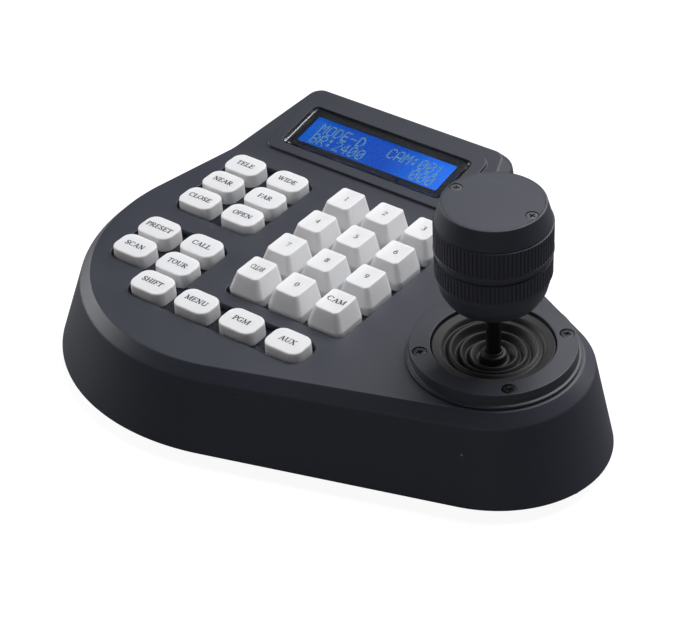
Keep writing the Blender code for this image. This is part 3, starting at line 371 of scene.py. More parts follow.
def node_group(name, inputs, outputs):
    group = bpy.data.node_groups.new(name, "ShaderNodeTree")
    for label, value in inputs:
        socket = group.interface.new_socket(label, in_out="INPUT", socket_type="NodeSocketFloat")
        socket.default_value = value
    for label in outputs:
        group.interface.new_socket(label, in_out="OUTPUT", socket_type="NodeSocketFloat")
    return group, group.nodes.new("NodeGroupInput"), group.nodes.new("NodeGroupOutput")


def maths(tree, operation, first, second=0.0, clamp=False):
    node = tree.nodes.new("ShaderNodeMath")
    node.operation, node.use_clamp = operation, clamp
    for socket, value in zip(node.inputs, (first, second)):
        if isinstance(value, (int, float)):
            socket.default_value = value
        else:
            tree.links.new(value, socket)
    return node.outputs[0]


def grain_group():
    """Fine moulded grain as a height, and broad mottling as a value about a half."""
    if "moulded_grain" in bpy.data.node_groups:
        return bpy.data.node_groups["moulded_grain"]
    group, given, out = node_group("moulded_grain", [("Grain Scale", 4000.0),
                                                     ("Mottle Scale", 40.0)],
                                   ["Height", "Mottle"])
    place = group.nodes.new("ShaderNodeTexCoord")
    for label, source, detail in (("Height", "Grain Scale", 3.0), ("Mottle", "Mottle Scale", 4.0)):
        noise = group.nodes.new("ShaderNodeTexNoise")
        noise.inputs["Detail"].default_value = detail
        group.links.new(place.outputs["Object"], noise.inputs["Vector"])
        group.links.new(given.outputs[source], noise.inputs["Scale"])
        group.links.new(noise.outputs["Fac"], out.inputs[label])
    return group


def dust_group():
    """Sparse specks: cells whose random value is high, inside a small radius."""
    if "dust_specks" in bpy.data.node_groups:
        return bpy.data.node_groups["dust_specks"]
    group, given, out = node_group("dust_specks", [("Scale", 300.0), ("Share", 0.03),
                                                   ("Size", 0.16)], ["Mask"])
    place = group.nodes.new("ShaderNodeTexCoord")
    cells = group.nodes.new("ShaderNodeTexVoronoi")
    group.links.new(place.outputs["Object"], cells.inputs["Vector"])
    group.links.new(given.outputs["Scale"], cells.inputs["Scale"])
    parts = group.nodes.new("ShaderNodeSeparateColor")
    group.links.new(cells.outputs["Color"], parts.inputs[0])
    chosen = maths(group, "LESS_THAN", parts.outputs[0], given.outputs["Share"])
    near = maths(group, "SUBTRACT", 1.0, maths(group, "DIVIDE", cells.outputs["Distance"],
                                               given.outputs["Size"]), True)
    group.links.new(maths(group, "MULTIPLY", chosen, near), out.inputs["Mask"])
    return group


def edge_highlight_group():
    """Painted highlight: convex edges made a little lighter, broken up by noise."""
    if "painted_edge_highlight" in bpy.data.node_groups:
        return bpy.data.node_groups["painted_edge_highlight"]
    group, given, out = node_group("painted_edge_highlight", [("Start", 0.53), ("Gain", 9.0)], ["Mask"])
    shape = group.nodes.new("ShaderNodeNewGeometry")
    place = group.nodes.new("ShaderNodeTexCoord")
    noise = group.nodes.new("ShaderNodeTexNoise")
    noise.inputs["Scale"].default_value = 260.0
    noise.inputs["Detail"].default_value = 4.0
    group.links.new(place.outputs["Object"], noise.inputs["Vector"])
    above = maths(group, "SUBTRACT", shape.outputs["Pointiness"], given.outputs["Start"])
    edge = maths(group, "MULTIPLY", above, given.outputs["Gain"], True)
    group.links.new(maths(group, "MULTIPLY", edge, noise.outputs["Fac"]), out.inputs["Mask"])
    return group


def mixed(tree, factor, first, second):
    """Colour mix by a factor socket; first is a colour or a socket."""
    node = tree.nodes.new("ShaderNodeMix")
    node.data_type = "RGBA"
    tree.links.new(factor, node.inputs["Factor"])
    for label, value in ((6, first), (7, second)):
        if hasattr(value, "is_linked"):
            tree.links.new(value, node.inputs[label])
        else:
            node.inputs[label].default_value = (*value, 1.0)
    return node.outputs[2]


def moulded(name, colour_value, roughness, grain=2600.0, bump=0.12, mottle=0.12, dust=0.0,
            edge_highlight=0.0, metallic=0.0, spread=0.08):
    """Solid finish with grain, mottling, a painted highlight on convex edges, and dust; sizes as named
    inputs.
    """
    material = bpy.data.materials.new(name)
    material.use_nodes = True
    tree = material.node_tree
    shader = tree.nodes["Principled BSDF"]
    shader.inputs["Metallic"].default_value = metallic
    base = np.array(colour_value)
    grains = tree.nodes.new("ShaderNodeGroup")
    grains.node_tree = grain_group()
    grains.inputs["Grain Scale"].default_value = grain
    tone = mixed(tree, grains.outputs["Mottle"], tuple(base * (1 - mottle)),
                 tuple(np.minimum(base * (1 + mottle), 1)))
    # Painted highlight: convex edges are mixed towards a lighter tone, standing in for their sheen.
    if edge_highlight:
        highlight_node = tree.nodes.new("ShaderNodeGroup")
        highlight_node.node_tree = edge_highlight_group()
        amount = maths(tree, "MULTIPLY", highlight_node.outputs["Mask"], edge_highlight, True)
        tone = mixed(tree, amount, tone, tuple(np.minimum(base * 1.5 + 0.05, 1)))
    if dust:
        specks = tree.nodes.new("ShaderNodeGroup")
        specks.node_tree = dust_group()
        specks.inputs["Share"].default_value = dust
        tone = mixed(tree, specks.outputs["Mask"], tone, (0.42, 0.42, 0.43))
    tree.links.new(tone, shader.inputs["Base Color"])
    rough = maths(tree, "MULTIPLY_ADD", grains.outputs["Mottle"], 2 * spread)
    rough.node.inputs[2].default_value = roughness - spread
    tree.links.new(rough, shader.inputs["Roughness"])
    relief = tree.nodes.new("ShaderNodeBump")
    relief.inputs["Strength"].default_value = bump
    relief.inputs["Distance"].default_value = 0.1 * MM
    tree.links.new(grains.outputs["Height"], relief.inputs["Height"])
    tree.links.new(relief.outputs["Normal"], shader.inputs["Normal"])
    return material


def clear_glass():
    """Clear acrylic plate with a faint waviness."""
    material = moulded("clear_acrylic", (0.96, 0.98, 1.0), 0.08, 60.0, 0.02, 0.01, spread=0.02)
    shader = material.node_tree.nodes["Principled BSDF"]
    shader.inputs["Transmission Weight"].default_value = 1.0
    shader.inputs["IOR"].default_value = 1.49
    return material


def lit_display(tone):
    """Blue backlight, a little brighter towards both ends and uneven like a light guide."""
    material = bpy.data.materials.new("lit_display")
    material.use_nodes = True
    tree = material.node_tree
    shader = tree.nodes["Principled BSDF"]
    shader.inputs["Roughness"].default_value = 0.25
    place = tree.nodes.new("ShaderNodeTexCoord")
    split = tree.nodes.new("ShaderNodeSeparateXYZ")
    tree.links.new(place.outputs["Object"], split.inputs[0])
    low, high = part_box("lcd_glass")
    along = tree.nodes.new("ShaderNodeMapRange")
    along.inputs["From Min"].default_value = low.x
    along.inputs["From Max"].default_value = high.x
    tree.links.new(split.outputs["X"], along.inputs["Value"])
    ramp = tree.nodes.new("ShaderNodeValToRGB")
    tone = np.array(tone)
    stops = [(0.0, tone * 1.1 + (0.0, 0.03, 0.02)), (0.25, tone), (0.6, tone),
             (0.86, tone * 1.7 + (0.010, 0.05, 0.05)), (1.0, tone * 1.7 + (0.02, 0.07, 0.08))]
    ramp.color_ramp.elements[0].position = 0.0
    ramp.color_ramp.elements[0].color = (*np.minimum(stops[0][1], 1), 1)
    ramp.color_ramp.elements[1].position = 1.0
    ramp.color_ramp.elements[1].color = (*np.minimum(stops[-1][1], 1), 1)
    for position, value in stops[1:-1]:
        ramp.color_ramp.elements.new(position).color = (*np.minimum(value, 1), 1)
    tree.links.new(along.outputs[0], ramp.inputs[0])
    grains = tree.nodes.new("ShaderNodeGroup")
    grains.node_tree = grain_group()
    grains.inputs["Mottle Scale"].default_value = 90.0
    uneven = mixed(tree, grains.outputs["Mottle"], (0.9, 0.9, 0.92), (1.0, 1.0, 1.0))
    product = tree.nodes.new("ShaderNodeMix")
    product.data_type, product.blend_type = "RGBA", "MULTIPLY"
    product.inputs["Factor"].default_value = 1.0
    tree.links.new(ramp.outputs[0], product.inputs[6])
    tree.links.new(uneven, product.inputs[7])
    shader.inputs["Base Color"].default_value = (0.0, 0.01, 0.05, 1.0)
    tree.links.new(product.outputs[2], shader.inputs["Emission Color"])
    shader.inputs["Emission Strength"].default_value = 1.0
    return material


# ---------------------------------------------------------------- case

def belt(circles, step, turn, lead):
    """Points, and outward normals, along a belt laid round circles of sign +1 or -1.

    Two circles share the straight line whose normal lies at atan2(dy, dx) minus
    acos((s1 r1 - s2 r2) / d).  Straight runs get one point at lead from each end.
    """
    count = len(circles)
    angles = []
    for (u0, v0, r0, s0), (u1, v1, r1, s1) in zip(circles, circles[1:] + circles[:1]):
        across = math.hypot(u1 - u0, v1 - v0)
        angles.append(math.atan2(v1 - v0, u1 - u0) - math.acos((s0 * r0 - s1 * r1) / across))
    rows = []
    for i, (cu, cv, radius, sign) in enumerate(circles):
        start, end = angles[i - 1], angles[i]
        end += 2 * math.pi * math.ceil((start - end) / (2 * math.pi)) if sign > 0 else 0.0
        end -= 2 * math.pi * math.ceil((end - start) / (2 * math.pi)) if sign < 0 else 0.0
        sweep = abs(end - start)
        pieces = max(3, math.ceil(sweep * radius / step), math.ceil(sweep / turn))
        a = np.linspace(start, end, pieces + 1)
        rows.append(np.stack([cu + sign * radius * np.cos(a), cv + sign * radius * np.sin(a),
                              np.cos(a), np.sin(a)], 1))
    joined = []
    for i, row in enumerate(rows):
        after = rows[(i + 1) % count][0]
        run = np.linalg.norm(after[:2] - row[-1][:2])
        share = min(lead / run, 0.4)
        joined += [row, (row[-1] + share * (after - row[-1]))[None],
                   (row[-1] + (1 - share) * (after - row[-1]))[None]]
    return np.concatenate(joined)


def case_path():
    """Panel edge of the case: a keypad lobe, the stick lobe, a waist and a rear edge."""
    rear = REAR_V - REAR_RADIUS
    return belt([(*LOBE_CENTRE, LOBE_RADIUS, 1), (STICK_U, STICK_V, STICK_LOBE_RADIUS, 1),
                 (*WAIST_CENTRE, WAIST_RADIUS, -1), (REAR_RIGHT_U, rear, REAR_RADIUS, 1),
                 (REAR_LEFT_U, rear, REAR_RADIUS, 1)],
                1.3 * MM, math.radians(6), 1.2 * MM)


BEND_SOFT = 2.0 * MM
BEND_ROWS = BEND_V + np.linspace(-1, 1, 9) * BEND_SOFT


def roof(v, depth=0.0):
    """Height of the roof over the panel plane, moved in by depth.

    0 before the bend, tan(D) (v - bend) behind it, joined by a parabola across the bend.
    """
    slope, soft = math.tan(DISPLAY_TILT), BEND_SOFT
    x = v - BEND_V - depth * (1 / COS_D - 1) / slope
    curve = slope * (x + soft) ** 2 / (4 * soft)
    return np.where(x < -soft, 0.0, np.where(x > soft, slope * x, curve)) - depth


def with_crossings(path, inset):
    """The path with a point wherever its inset line crosses a row of the bend."""
    for row in BEND_ROWS:
        v = path[:, 1] - inset * path[:, 3]
        w = np.roll(v, -1)
        hits = np.nonzero((v - row) * (w - row) < 0)[0]
        for k in sorted(hits, reverse=True):
            t = (row - v[k]) / (w[k] - v[k])
            after = path[(k + 1) % len(path)]
            path = np.insert(path, k + 1, path[k] + t * (after - path[k]), 0)
    return path


def wall_corners(path, inset):
    """Corner lines of the wall section from the roof, down outside, up inside."""
    u, v, nu, nv = path.T

    def at(out, height):
        return panel(np.stack([u + nu * out, v + nv * out, height], -1))

    def rim(out):
        low = at(out, np.full_like(u, -CHAMFER))
        low[:, 2] = RIM_Z
        return low
    thin = TOP_MITRE * WALL
    reach = CHAMFER + FLARE
    return np.stack([
        at(-inset, roof(v - nv * inset)), at(0.0, roof(v)), at(CHAMFER, roof(v) - CHAMFER),
        rim(reach), rim(reach - WALL_LEVEL * WALL),
        at(CHAMFER - SHOULDER_OUT * WALL, roof(v) - CHAMFER - SHOULDER_DOWN * WALL),
        at(-thin, roof(v - nv * thin, WALL)),
        at(-inset - thin, roof(v - nv * (inset + thin), WALL))], 0)


def roof_plate(skin, ring, path, inset, front_holes, rear_holes):
    """Roof inside a ring: a front plate, rows across the bend, and a display plate."""
    v = path[:, 1] - inset * path[:, 3]
    middle = np.mean(path[:, 0])
    marks = []
    for row in BEND_ROWS:
        near = np.argsort(np.abs(v - row))[:2]
        left, right = sorted(near, key=lambda k: path[k, 0] > middle)
        marks.append((left, right))

    def between(start, end):
        count = (end - start) % len(ring)
        return ring[(start + np.arange(count + 1)) % len(ring)]
    skin.plate(between(marks[0][0], marks[0][1]), front_holes)
    skin.plate(between(marks[-1][1], marks[-1][0]), rear_holes)
    for (l0, r0), (l1, r1) in zip(marks[:-1], marks[1:]):
        skin.faces.append([int(k) for k in (*between(r0, r1), *between(l1, l0))])


def l_opening():
    """Corners of the opening round the lower function keys and its one concave corner."""
    lower = KEYS_V - GROUP_STEP
    half_w, half_d = KEY_W / 2 + KEY_CLEAR, KEY_D / 2 + KEY_CLEAR
    left, mid = KEYS_U - half_w, KEYS_U + KEY_PITCH_U + half_w
    right = KEYS_U + 4 * KEY_PITCH_U + half_w
    step_left = KEYS_U + KEY_PITCH_U - half_w
    top = lower + half_d
    low = lower - KEY_PITCH_V - half_d
    base = lower - 2 * KEY_PITCH_V - half_d
    shelf = lower - 2 * KEY_PITCH_V + half_d
    corners = [(left, low), (step_left, low), (step_left, base), (right, base), (right, shelf),
               (mid, shelf), (mid, top), (left, top)]
    big, small = KEY_CORNER + KEY_CLEAR, 0.9 * MM
    return corners, [big, small, big, big, big, small, big, big]


def block_corners(first, last, size):
    """Corners of the opening round a block of keys with these first and last centres."""
    half_w, half_d = size[0] / 2 + KEY_CLEAR, size[1] / 2 + KEY_CLEAR
    u0, u1, v0, v1 = first[0] - half_w, last[0] + half_w, last[1] - half_d, first[1] + half_d
    return [(u1, v0), (u1, v1), (u0, v1), (u0, v0)]


def make_case(sizes, finish):
    """Case shell: the wall section carried round the panel edge, with its openings."""
    skin = Skin()
    inset = RIM_OUT
    path = with_crossings(case_path(), inset)
    steps, guard = 5, 0.8 * MM
    lip = sizes.opening_lip
    section = chain_rings(wall_corners(path, inset),
                          [sizes.panel_edge, sizes.belly_edge, 0.5 * MM, 0.4 * MM, 1.2 * MM,
                           0.8 * MM], steps, guard)
    grid = skin.add(section)
    per = steps + 3
    outer_row, inner_row = 2 * per, 4 * per
    rear = int(np.argmax(path[:, 1] + np.roll(path[:, 1], -1)
                         + np.hypot(*(path[:, :2] - np.roll(path[:, :2], -1, 0)).T)))
    after = (rear + 1) % len(path)
    whole = np.concatenate([grid, grid[:, :1]], 1)
    faces = np.stack([whole[:-1, :-1], whole[:-1, 1:], whole[1:, 1:], whole[1:, :-1]], -1)
    keep = np.ones(faces.shape[:2], bool)
    keep[[outer_row, inner_row], rear] = False
    skin.faces += faces[keep].tolist()

    openings = [(block_corners((KEYS_U, KEYS_V), (KEYS_U + KEY_PITCH_U, KEYS_V - 2 * KEY_PITCH_V),
                               (KEY_W, KEY_D)), KEY_CORNER + KEY_CLEAR),
                l_opening(),
                (block_corners((PAD_U, PAD_V), (PAD_U + 2 * PAD_PITCH, PAD_V - 3 * PAD_PITCH),
                               (PAD_BASE_W, PAD_BASE_D)), 2.5 * MM)]
    tops, unders = [], []
    for corners, radii in openings:
        outlines = [rounded_polygon(corners, radii, grow, 8) for grow in (3 * lip, 0, 0, 3 * lip)]
        rings = [lay(o, h) for o, h in zip(outlines, (0, 0, -WALL, -WALL))]
        index = skin.rings(chain_rings(panel(np.stack(rings)), [lip, lip * 0.6], 4, lip))
        tops.append(index[0])
        unders.append(index[-1])
    bore = RING_HOLE - 2.6 * MM
    rings = [lay(circle(r, 72) + (STICK_U, STICK_V), h)
             for r, h in ((bore + 1 * MM, 0), (bore, 0), (bore, -WALL), (bore + 1 * MM, -WALL))]
    index = skin.rings(chain_rings(panel(np.stack(rings)), [lip, lip], 3, lip))
    tops.append(index[0])
    unders.append(index[-1])

    floor = PLATEAU_RISE - LENS_THICK - 0.1 * MM
    steps_in = [(PLATEAU_W, PLATEAU_D, 4 * MM, 1.4 * MM, 0), (PLATEAU_W, PLATEAU_D, 4 * MM, 0, 0),
                (PLATEAU_W, PLATEAU_D, 4 * MM, 0, PLATEAU_RISE),
                (LENS_W, LENS_D, 2 * MM, LENS_GAP, PLATEAU_RISE),
                (LENS_W, LENS_D, 2 * MM, LENS_GAP, floor),
                (LCD_W, LCD_D, 1 * MM, 0.9 * MM, floor), (LCD_W, LCD_D, 1 * MM, 0.9 * MM, -WALL),
                (LCD_W, LCD_D, 1 * MM, 2 * MM, -WALL)]
    rings = [lay(rectangle(w, d, r, grow, 8) + (LCD_U, LCD_S), h) for w, d, r, grow, h in steps_in]
    index = skin.rings(chain_rings(display(np.stack(rings)),
                                   [0.2 * MM, 0.4 * MM, 0.2 * MM, 0.1 * MM, 0.2 * MM, 0.2 * MM],
                                   4, 0.3 * MM))
    roof_plate(skin, grid[0], path, inset, tops, [index[0]])
    roof_plate(skin, grid[-1], path, inset + TOP_MITRE * WALL, unders, [index[-1]])
    rear_wall(skin, grid, rear, after, outer_row, inner_row)
    return skin.finish("case_shell", finish, "case", "case", ["top_cover"])


def rear_wall(skin, grid, rear, after, outer_row, inner_row):
    """Flat rear wall with the two socket holes, outside and inside."""
    every = np.concatenate(skin.points)
    sides = []
    for row in (outer_row, inner_row):
        frame_ring = [grid[row, rear], grid[row, after], grid[row + 1, after],
                      grid[row + 1, rear]]
        top, low = every[frame_ring[0]], every[frame_ring[2]]
        sides.append((frame_ring, top, (low[1] - top[1]) / (low[2] - top[2])))

    def on_wall(outline, side):
        _, top, slope = sides[side]
        x, z = outline.T
        return np.stack([x, top[1] + (z - top[2]) * slope, z], 1)
    shift = PIVOT[0] - STICK_U
    holes = ([], [])
    for u, width, height in ((JACK_U, JACK_W, JACK_H), (SOCKET_U, SOCKET_W, SOCKET_H)):
        rings = []
        for grow, side in ((0.8 * MM, 0), (0.3 * MM, 0), (0.3 * MM, 1), (0.8 * MM, 1)):
            outline = rectangle(width, height, 0.6 * MM, grow) + (shift + u, SOCKET_Z)
            rings.append(on_wall(outline, side))
        index = skin.rings(chain_rings(np.stack(rings), [0.25 * MM, 0.2 * MM], 3, 0.15 * MM))
        holes[0].append(index[0])
        holes[1].append(index[-1])
    for (ring, _, _), found in zip(sides, holes):
        skin.plate(np.array(ring), found, (0, 2))


# ---------------------------------------------------------------- keys

def small_keys():
    """Name, legend and panel place of each rounded function key."""
    lower = KEYS_V - GROUP_STEP
    rows = [(KEYS_V, 0, "TELE WIDE"), (KEYS_V - KEY_PITCH_V, 0, "NEAR FAR"),
            (KEYS_V - 2 * KEY_PITCH_V, 0, "CLOSE OPEN"), (lower, 0, "PRESET CALL"),
            (lower - KEY_PITCH_V, 0, "SCAN TOUR"),
            (lower - 2 * KEY_PITCH_V, 1, "SHIFT MENU PGM AUX")]
    return [(word, KEYS_U + (first + k) * KEY_PITCH_U, v)
            for v, first, words in rows for k, word in enumerate(words.split())]


def pad_keys():
    """Name and panel place of each tall keypad key."""
    rows = ["1 2 3", "4 5 6", "7 8 9", "CLEAR 0 CAM"]
    return [(word, PAD_U + k * PAD_PITCH, PAD_V - r * PAD_PITCH)
            for r, row in enumerate(rows) for k, word in enumerate(row.split())]


def key_place(u, v, back=0.0):
    """Placing function for points measured from a key's centre, moved back up the slope."""
    return lambda points: panel(np.asarray(points, float) + (0, back, 0) + (u, v, 0))


def key_shell(skin, place, outer, radii, top_height, bottom_wall, ceiling, stem_bottom, lean=0.0):
    """Hollow cap on a stem: stem, ceiling, inner wall, skirt, outer wall and shaped top.

    outer holds (width, depth, corner, height) from the skirt up; top_height(x, y) gives
    the surface that the last outline lies on, down to the middle.  The top is moved
    back by the lean.
    """
    first, last = outer[0], outer[-1]
    inner = rectangle(first[0] - 2 * bottom_wall, first[1] - 2 * bottom_wall,
                      max(first[2] - bottom_wall, 0.6 * MM))
    upper = inner * (last[0] / first[0])
    stem = inner / np.linalg.norm(inner, axis=1)[:, None] * STEM_RADIUS
    under = [lay(stem, stem_bottom), lay(stem, ceiling), lay(upper, ceiling),
             lay(inner, KEY_SKIRT)]
    sides = [lay(rectangle(w, d, r), h) for w, d, r, h in outer]
    edge = sides[-1]
    edge[:, 2] = top_height(edge[:, 0], edge[:, 1])
    width, depth, corner = last[:3]
    close = 1.5 * radii[-1]
    inside = rectangle(width - 2 * close, depth - 2 * close, max(corner - close, 0.2 * MM))
    back = np.array([0, lean, 0])
    rings = chain_rings(np.stack(under + sides[:-1]
                                 + [edge + back, lay(inside, top_height(*inside.T)) + back]),
                        [0.3 * MM, 0.3 * MM, 0.3 * MM, *radii], 6, 0.12 * MM)
    shrink = np.linspace(1, 0, 9)[1:-1]
    tops = [lay(inside * k, top_height(*(inside * k).T)) + back for k in shrink]
    index = skin.rings(place(np.concatenate([rings, np.stack(tops)])))
    zero = np.zeros(1)
    skin.pole(index[-1], place([[0, lean, float(top_height(zero, zero)[0])]])[0])
    skin.pole(index[0], place([[0, 0, stem_bottom]])[0])


def make_small_keys(sizes, finish, ink):
    """Function keys, whose tops fall by the crown times x2 + y2, in shares of the half size."""
    crown = sizes.key_crown

    def top(x, y):
        share = np.clip((2 * x / KEY_W) ** 2 + (2 * y / KEY_D) ** 2, 0, 1)
        return KEY_TOP - crown * share
    outer = [(KEY_W, KEY_D, KEY_CORNER, KEY_SKIRT),
             (KEY_W - 0.35 * MM, KEY_D - 0.35 * MM, KEY_CORNER - 0.15 * MM, KEY_TOP)]
    for word, u, v in small_keys():
        skin = Skin()
        place = key_place(u, v)
        key_shell(skin, place, outer, [0.3 * MM, sizes.key_edge], top, 1.4 * MM,
                  KEY_TOP - 1.8 * MM, STEM_BOTTOM + KEY_TRAVEL)
        name = "key_" + word.lower()
        skin.finish(name + "_cap", finish, name + "_body", "key", [name])
        make_legend(name, word, sizes.legend_height, 0.92, (0.0, 0.1 * MM), top, place, ink)


def make_pad_keys(sizes, finish, ink):
    """Keypad keys, whose tops dip by the dish times 1 - x2, in shares of the half width."""
    dish = sizes.pad_dish

    def top(x, y):
        return PAD_TOP - dish * (1 - np.clip(2 * x / PAD_TOP_W, -1, 1) ** 2) + 0 * y
    outer = [(PAD_BASE_W, PAD_BASE_D, 2.4 * MM, KEY_SKIRT),
             (PAD_BASE_W, PAD_BASE_D, 2.4 * MM, 0.6 * MM),
             (PAD_TOP_W, PAD_TOP_D, 1.6 * MM, PAD_TOP)]
    for word, u, v in pad_keys():
        skin = Skin()
        place = key_place(u, v)
        key_shell(skin, place, outer, [0.3 * MM, 1.2 * MM, sizes.pad_edge], top, 1.4 * MM,
                  PAD_TOP - 3.0 * MM, STEM_BOTTOM + PAD_TRAVEL, PAD_LEAN)
        name = "key_" + word.lower()
        skin.finish(name + "_cap", finish, name + "_body", "key", [name])
        narrow = {"CLEAR": 0.5, "CAM": 0.95}.get(word, 0.9)
        make_legend(name, word, sizes.legend_height, narrow, (0.0, 0.6 * MM), top,
                    key_place(u, v, PAD_LEAN), ink)


# ---- letters: every stroke is a line (x0, y0, x1, y1, width) or an arc
# (cx, cy, rx, ry, from, to), in shares of the capital height ----
THICK, THIN = 0.20, 0.10


def line(x0, y0, x1, y1, width=THIN):
    return ("line", x0, y0, x1, y1, width)


def arc(cx, cy, rx, ry, start=0, end=360):
    return ("arc", cx, cy, rx, ry, start, end)


def hair(x0, x1, y, width=THIN):
    """Level thin stroke, also used as a serif."""
    return line(x0, y, x1, y, width)


def stem(x, low=0.0, high=1.0, width=THICK, foot=True, head=True):
    """Upright thick stroke with serifs at its ends."""
    strokes = [line(x, low, x, high, width)]
    strokes += [hair(x - 0.19, x + 0.19, low + 0.03)] if foot else []
    strokes += [hair(x - 0.19, x + 0.19, high - 0.03)] if head else []
    return strokes


LETTERS = {
    "A": (1.05, [line(0.13, 0, 0.51, 0.98), line(0.52, 1, 0.90, 0, THICK), hair(0.26, 0.76, 0.36),
                 hair(0.0, 0.28, 0.03), hair(0.74, 1.06, 0.03)]),
    "C": (1.0, [arc(0.52, 0.5, 0.40, 0.48, 42, 318), line(0.85, 0.68, 0.87, 0.97)]),
    "D": (1.08, stem(0.24) + [arc(0.38, 0.5, 0.58, 0.47, -90, 90), hair(0.2, 0.42, 0.03),
                              hair(0.2, 0.42, 0.97)]),
    "E": (0.92, stem(0.24) + [hair(0.24, 0.82, 0.03), hair(0.24, 0.78, 0.97), hair(0.24, 0.58, 0.52),
                              line(0.82, 0, 0.87, 0.25), line(0.79, 1, 0.79, 0.78),
                              line(0.59, 0.4, 0.59, 0.64)]),
    "F": (0.84, stem(0.24) + [hair(0.24, 0.78, 0.97), hair(0.24, 0.58, 0.5),
                              line(0.79, 1, 0.79, 0.76), line(0.59, 0.38, 0.59, 0.62)]),
    "G": (1.1, [arc(0.54, 0.5, 0.42, 0.48, 42, 300), line(0.88, 0.68, 0.89, 0.97)]
          + stem(0.87, 0.06, 0.44, foot=False)),
    "H": (1.12, stem(0.24) + stem(0.88) + [hair(0.24, 0.88, 0.5)]),
    "I": (0.5, stem(0.25)),
    "L": (0.9, stem(0.24) + [hair(0.24, 0.82, 0.03), line(0.82, 0, 0.87, 0.28)]),
    "M": (1.36, [line(0.23, 0, 0.23, 1), line(0.24, 0.98, 0.66, 0.04, THICK),
                 line(0.66, 0.02, 1.08, 0.98), hair(0.06, 0.4, 0.03), hair(0.04, 0.28, 0.97)]
          + stem(1.12)),
    "N": (1.1, [line(0.23, 0, 0.23, 1), line(0.22, 0.98, 0.86, 0.04, THICK), line(0.88, 0, 0.88, 1),
                hair(0.06, 0.4, 0.03), hair(0.02, 0.28, 0.97), hair(0.72, 1.04, 0.97)]),
    "O": (1.08, [arc(0.54, 0.5, 0.42, 0.48)]),
    "P": (0.86, stem(0.24) + [arc(0.42, 0.73, 0.34, 0.25, -90, 90), hair(0.2, 0.44, 0.97),
                              hair(0.24, 0.44, 0.48)]),
    "R": (1.02, stem(0.24) + [arc(0.42, 0.74, 0.34, 0.24, -90, 90), hair(0.2, 0.44, 0.97),
                              hair(0.24, 0.44, 0.5), line(0.44, 0.5, 0.86, 0.02, THICK),
                              hair(0.8, 1.02, 0.03)]),
    "S": (0.84, [arc(0.42, 0.74, 0.24, 0.23, 35, 215), arc(0.42, 0.27, 0.26, 0.24, -150, 35),
                 line(0.2, 0.62, 0.66, 0.36, THICK), line(0.68, 0.7, 0.68, 0.98),
                 line(0.14, 0.02, 0.14, 0.32)]),
    "T": (0.94, stem(0.47, head=False) + [hair(0.1, 0.84, 0.97), line(0.09, 1, 0.08, 0.76),
                                          line(0.85, 1, 0.86, 0.76)]),
    "U": (1.1, [line(0.24, 0.3, 0.24, 1, THICK), arc(0.56, 0.34, 0.32, 0.33, 180, 360),
                line(0.88, 0.34, 0.88, 1), hair(0.05, 0.43, 0.97), hair(0.72, 1.04, 0.97)]),
    "W": (1.44, [line(0.14, 1, 0.44, 0.02, THICK), line(0.44, 0.02, 0.72, 0.98),
                 line(0.66, 1, 0.96, 0.02, THICK), line(0.96, 0.02, 1.28, 0.98),
                 hair(-0.02, 0.34, 0.97), hair(0.5, 0.86, 0.97), hair(1.12, 1.42, 0.97)]),
    "X": (1.1, [line(0.2, 1, 0.88, 0, THICK), line(0.18, 0, 0.86, 1), hair(0.04, 0.42, 0.97),
                hair(0.72, 1.02, 0.97), hair(0.02, 0.34, 0.03), hair(0.68, 1.08, 0.03)]),
    "0": (0.76, [arc(0.38, 0.5, 0.27, 0.48)]),
    "1": (0.76, [line(0.4, 0, 0.4, 1, 0.13), line(0.2, 0.86, 0.4, 0.98), hair(0.2, 0.6, 0.03)]),
    "2": (0.76, [arc(0.36, 0.7, 0.25, 0.28, -30, 165), line(0.58, 0.56, 0.12, 0.06, 0.09),
                 hair(0.08, 0.68, 0.05, 0.1)]),
    "3": (0.76, [arc(0.34, 0.76, 0.23, 0.22, -90, 150), arc(0.33, 0.28, 0.28, 0.26, -150, 90)]),
    "4": (0.76, [line(0.5, 0, 0.5, 1, 0.13), line(0.5, 0.98, 0.06, 0.3), hair(0.04, 0.7, 0.28)]),
    "5": (0.76, [hair(0.2, 0.64, 0.95, 0.1), line(0.22, 0.97, 0.16, 0.56),
                 arc(0.33, 0.3, 0.28, 0.29, -150, 125)]),
    "6": (0.76, [arc(0.39, 0.32, 0.26, 0.3), arc(0.68, 0.32, 0.55, 0.68, 105, 180)]),
    "7": (0.76, [hair(0.1, 0.68, 0.94, 0.11), line(0.64, 0.92, 0.28, 0, 0.09),
                 line(0.1, 0.97, 0.08, 0.76)]),
    "8": (0.76, [arc(0.38, 0.75, 0.21, 0.23), arc(0.38, 0.27, 0.26, 0.25)]),
    "9": (0.76, [arc(0.37, 0.68, 0.26, 0.3), arc(0.08, 0.68, 0.55, 0.68, -75, 0)]),
}


def stroke_sides(stroke):
    """Left and right edges (N, 2) of a stroke; an arc is thick where it runs upright."""
    if stroke[0] == "line":
        _, x0, y0, x1, y1, width = stroke
        t = np.linspace(0, 1, 5)[:, None]
        start, end = np.array([x0, y0]), np.array([x1, y1])
        middle = start + t * (end - start)
        along = (end - start) / np.linalg.norm(end - start)
        across = np.array([-along[1], along[0]]) * width / 2
        return middle + across, middle - across
    _, cx, cy, rx, ry, first, last = stroke
    a = np.radians(np.linspace(first, last, max(7, int(abs(last - first) / 15))))
    out = np.stack([np.cos(a), np.sin(a)], 1)
    half = (THIN + (THICK - THIN) * out[:, 0] ** 2)[:, None] / 2
    middle = np.array([cx, cy]) + out * (rx, ry)
    return middle + out * half, middle - out * half


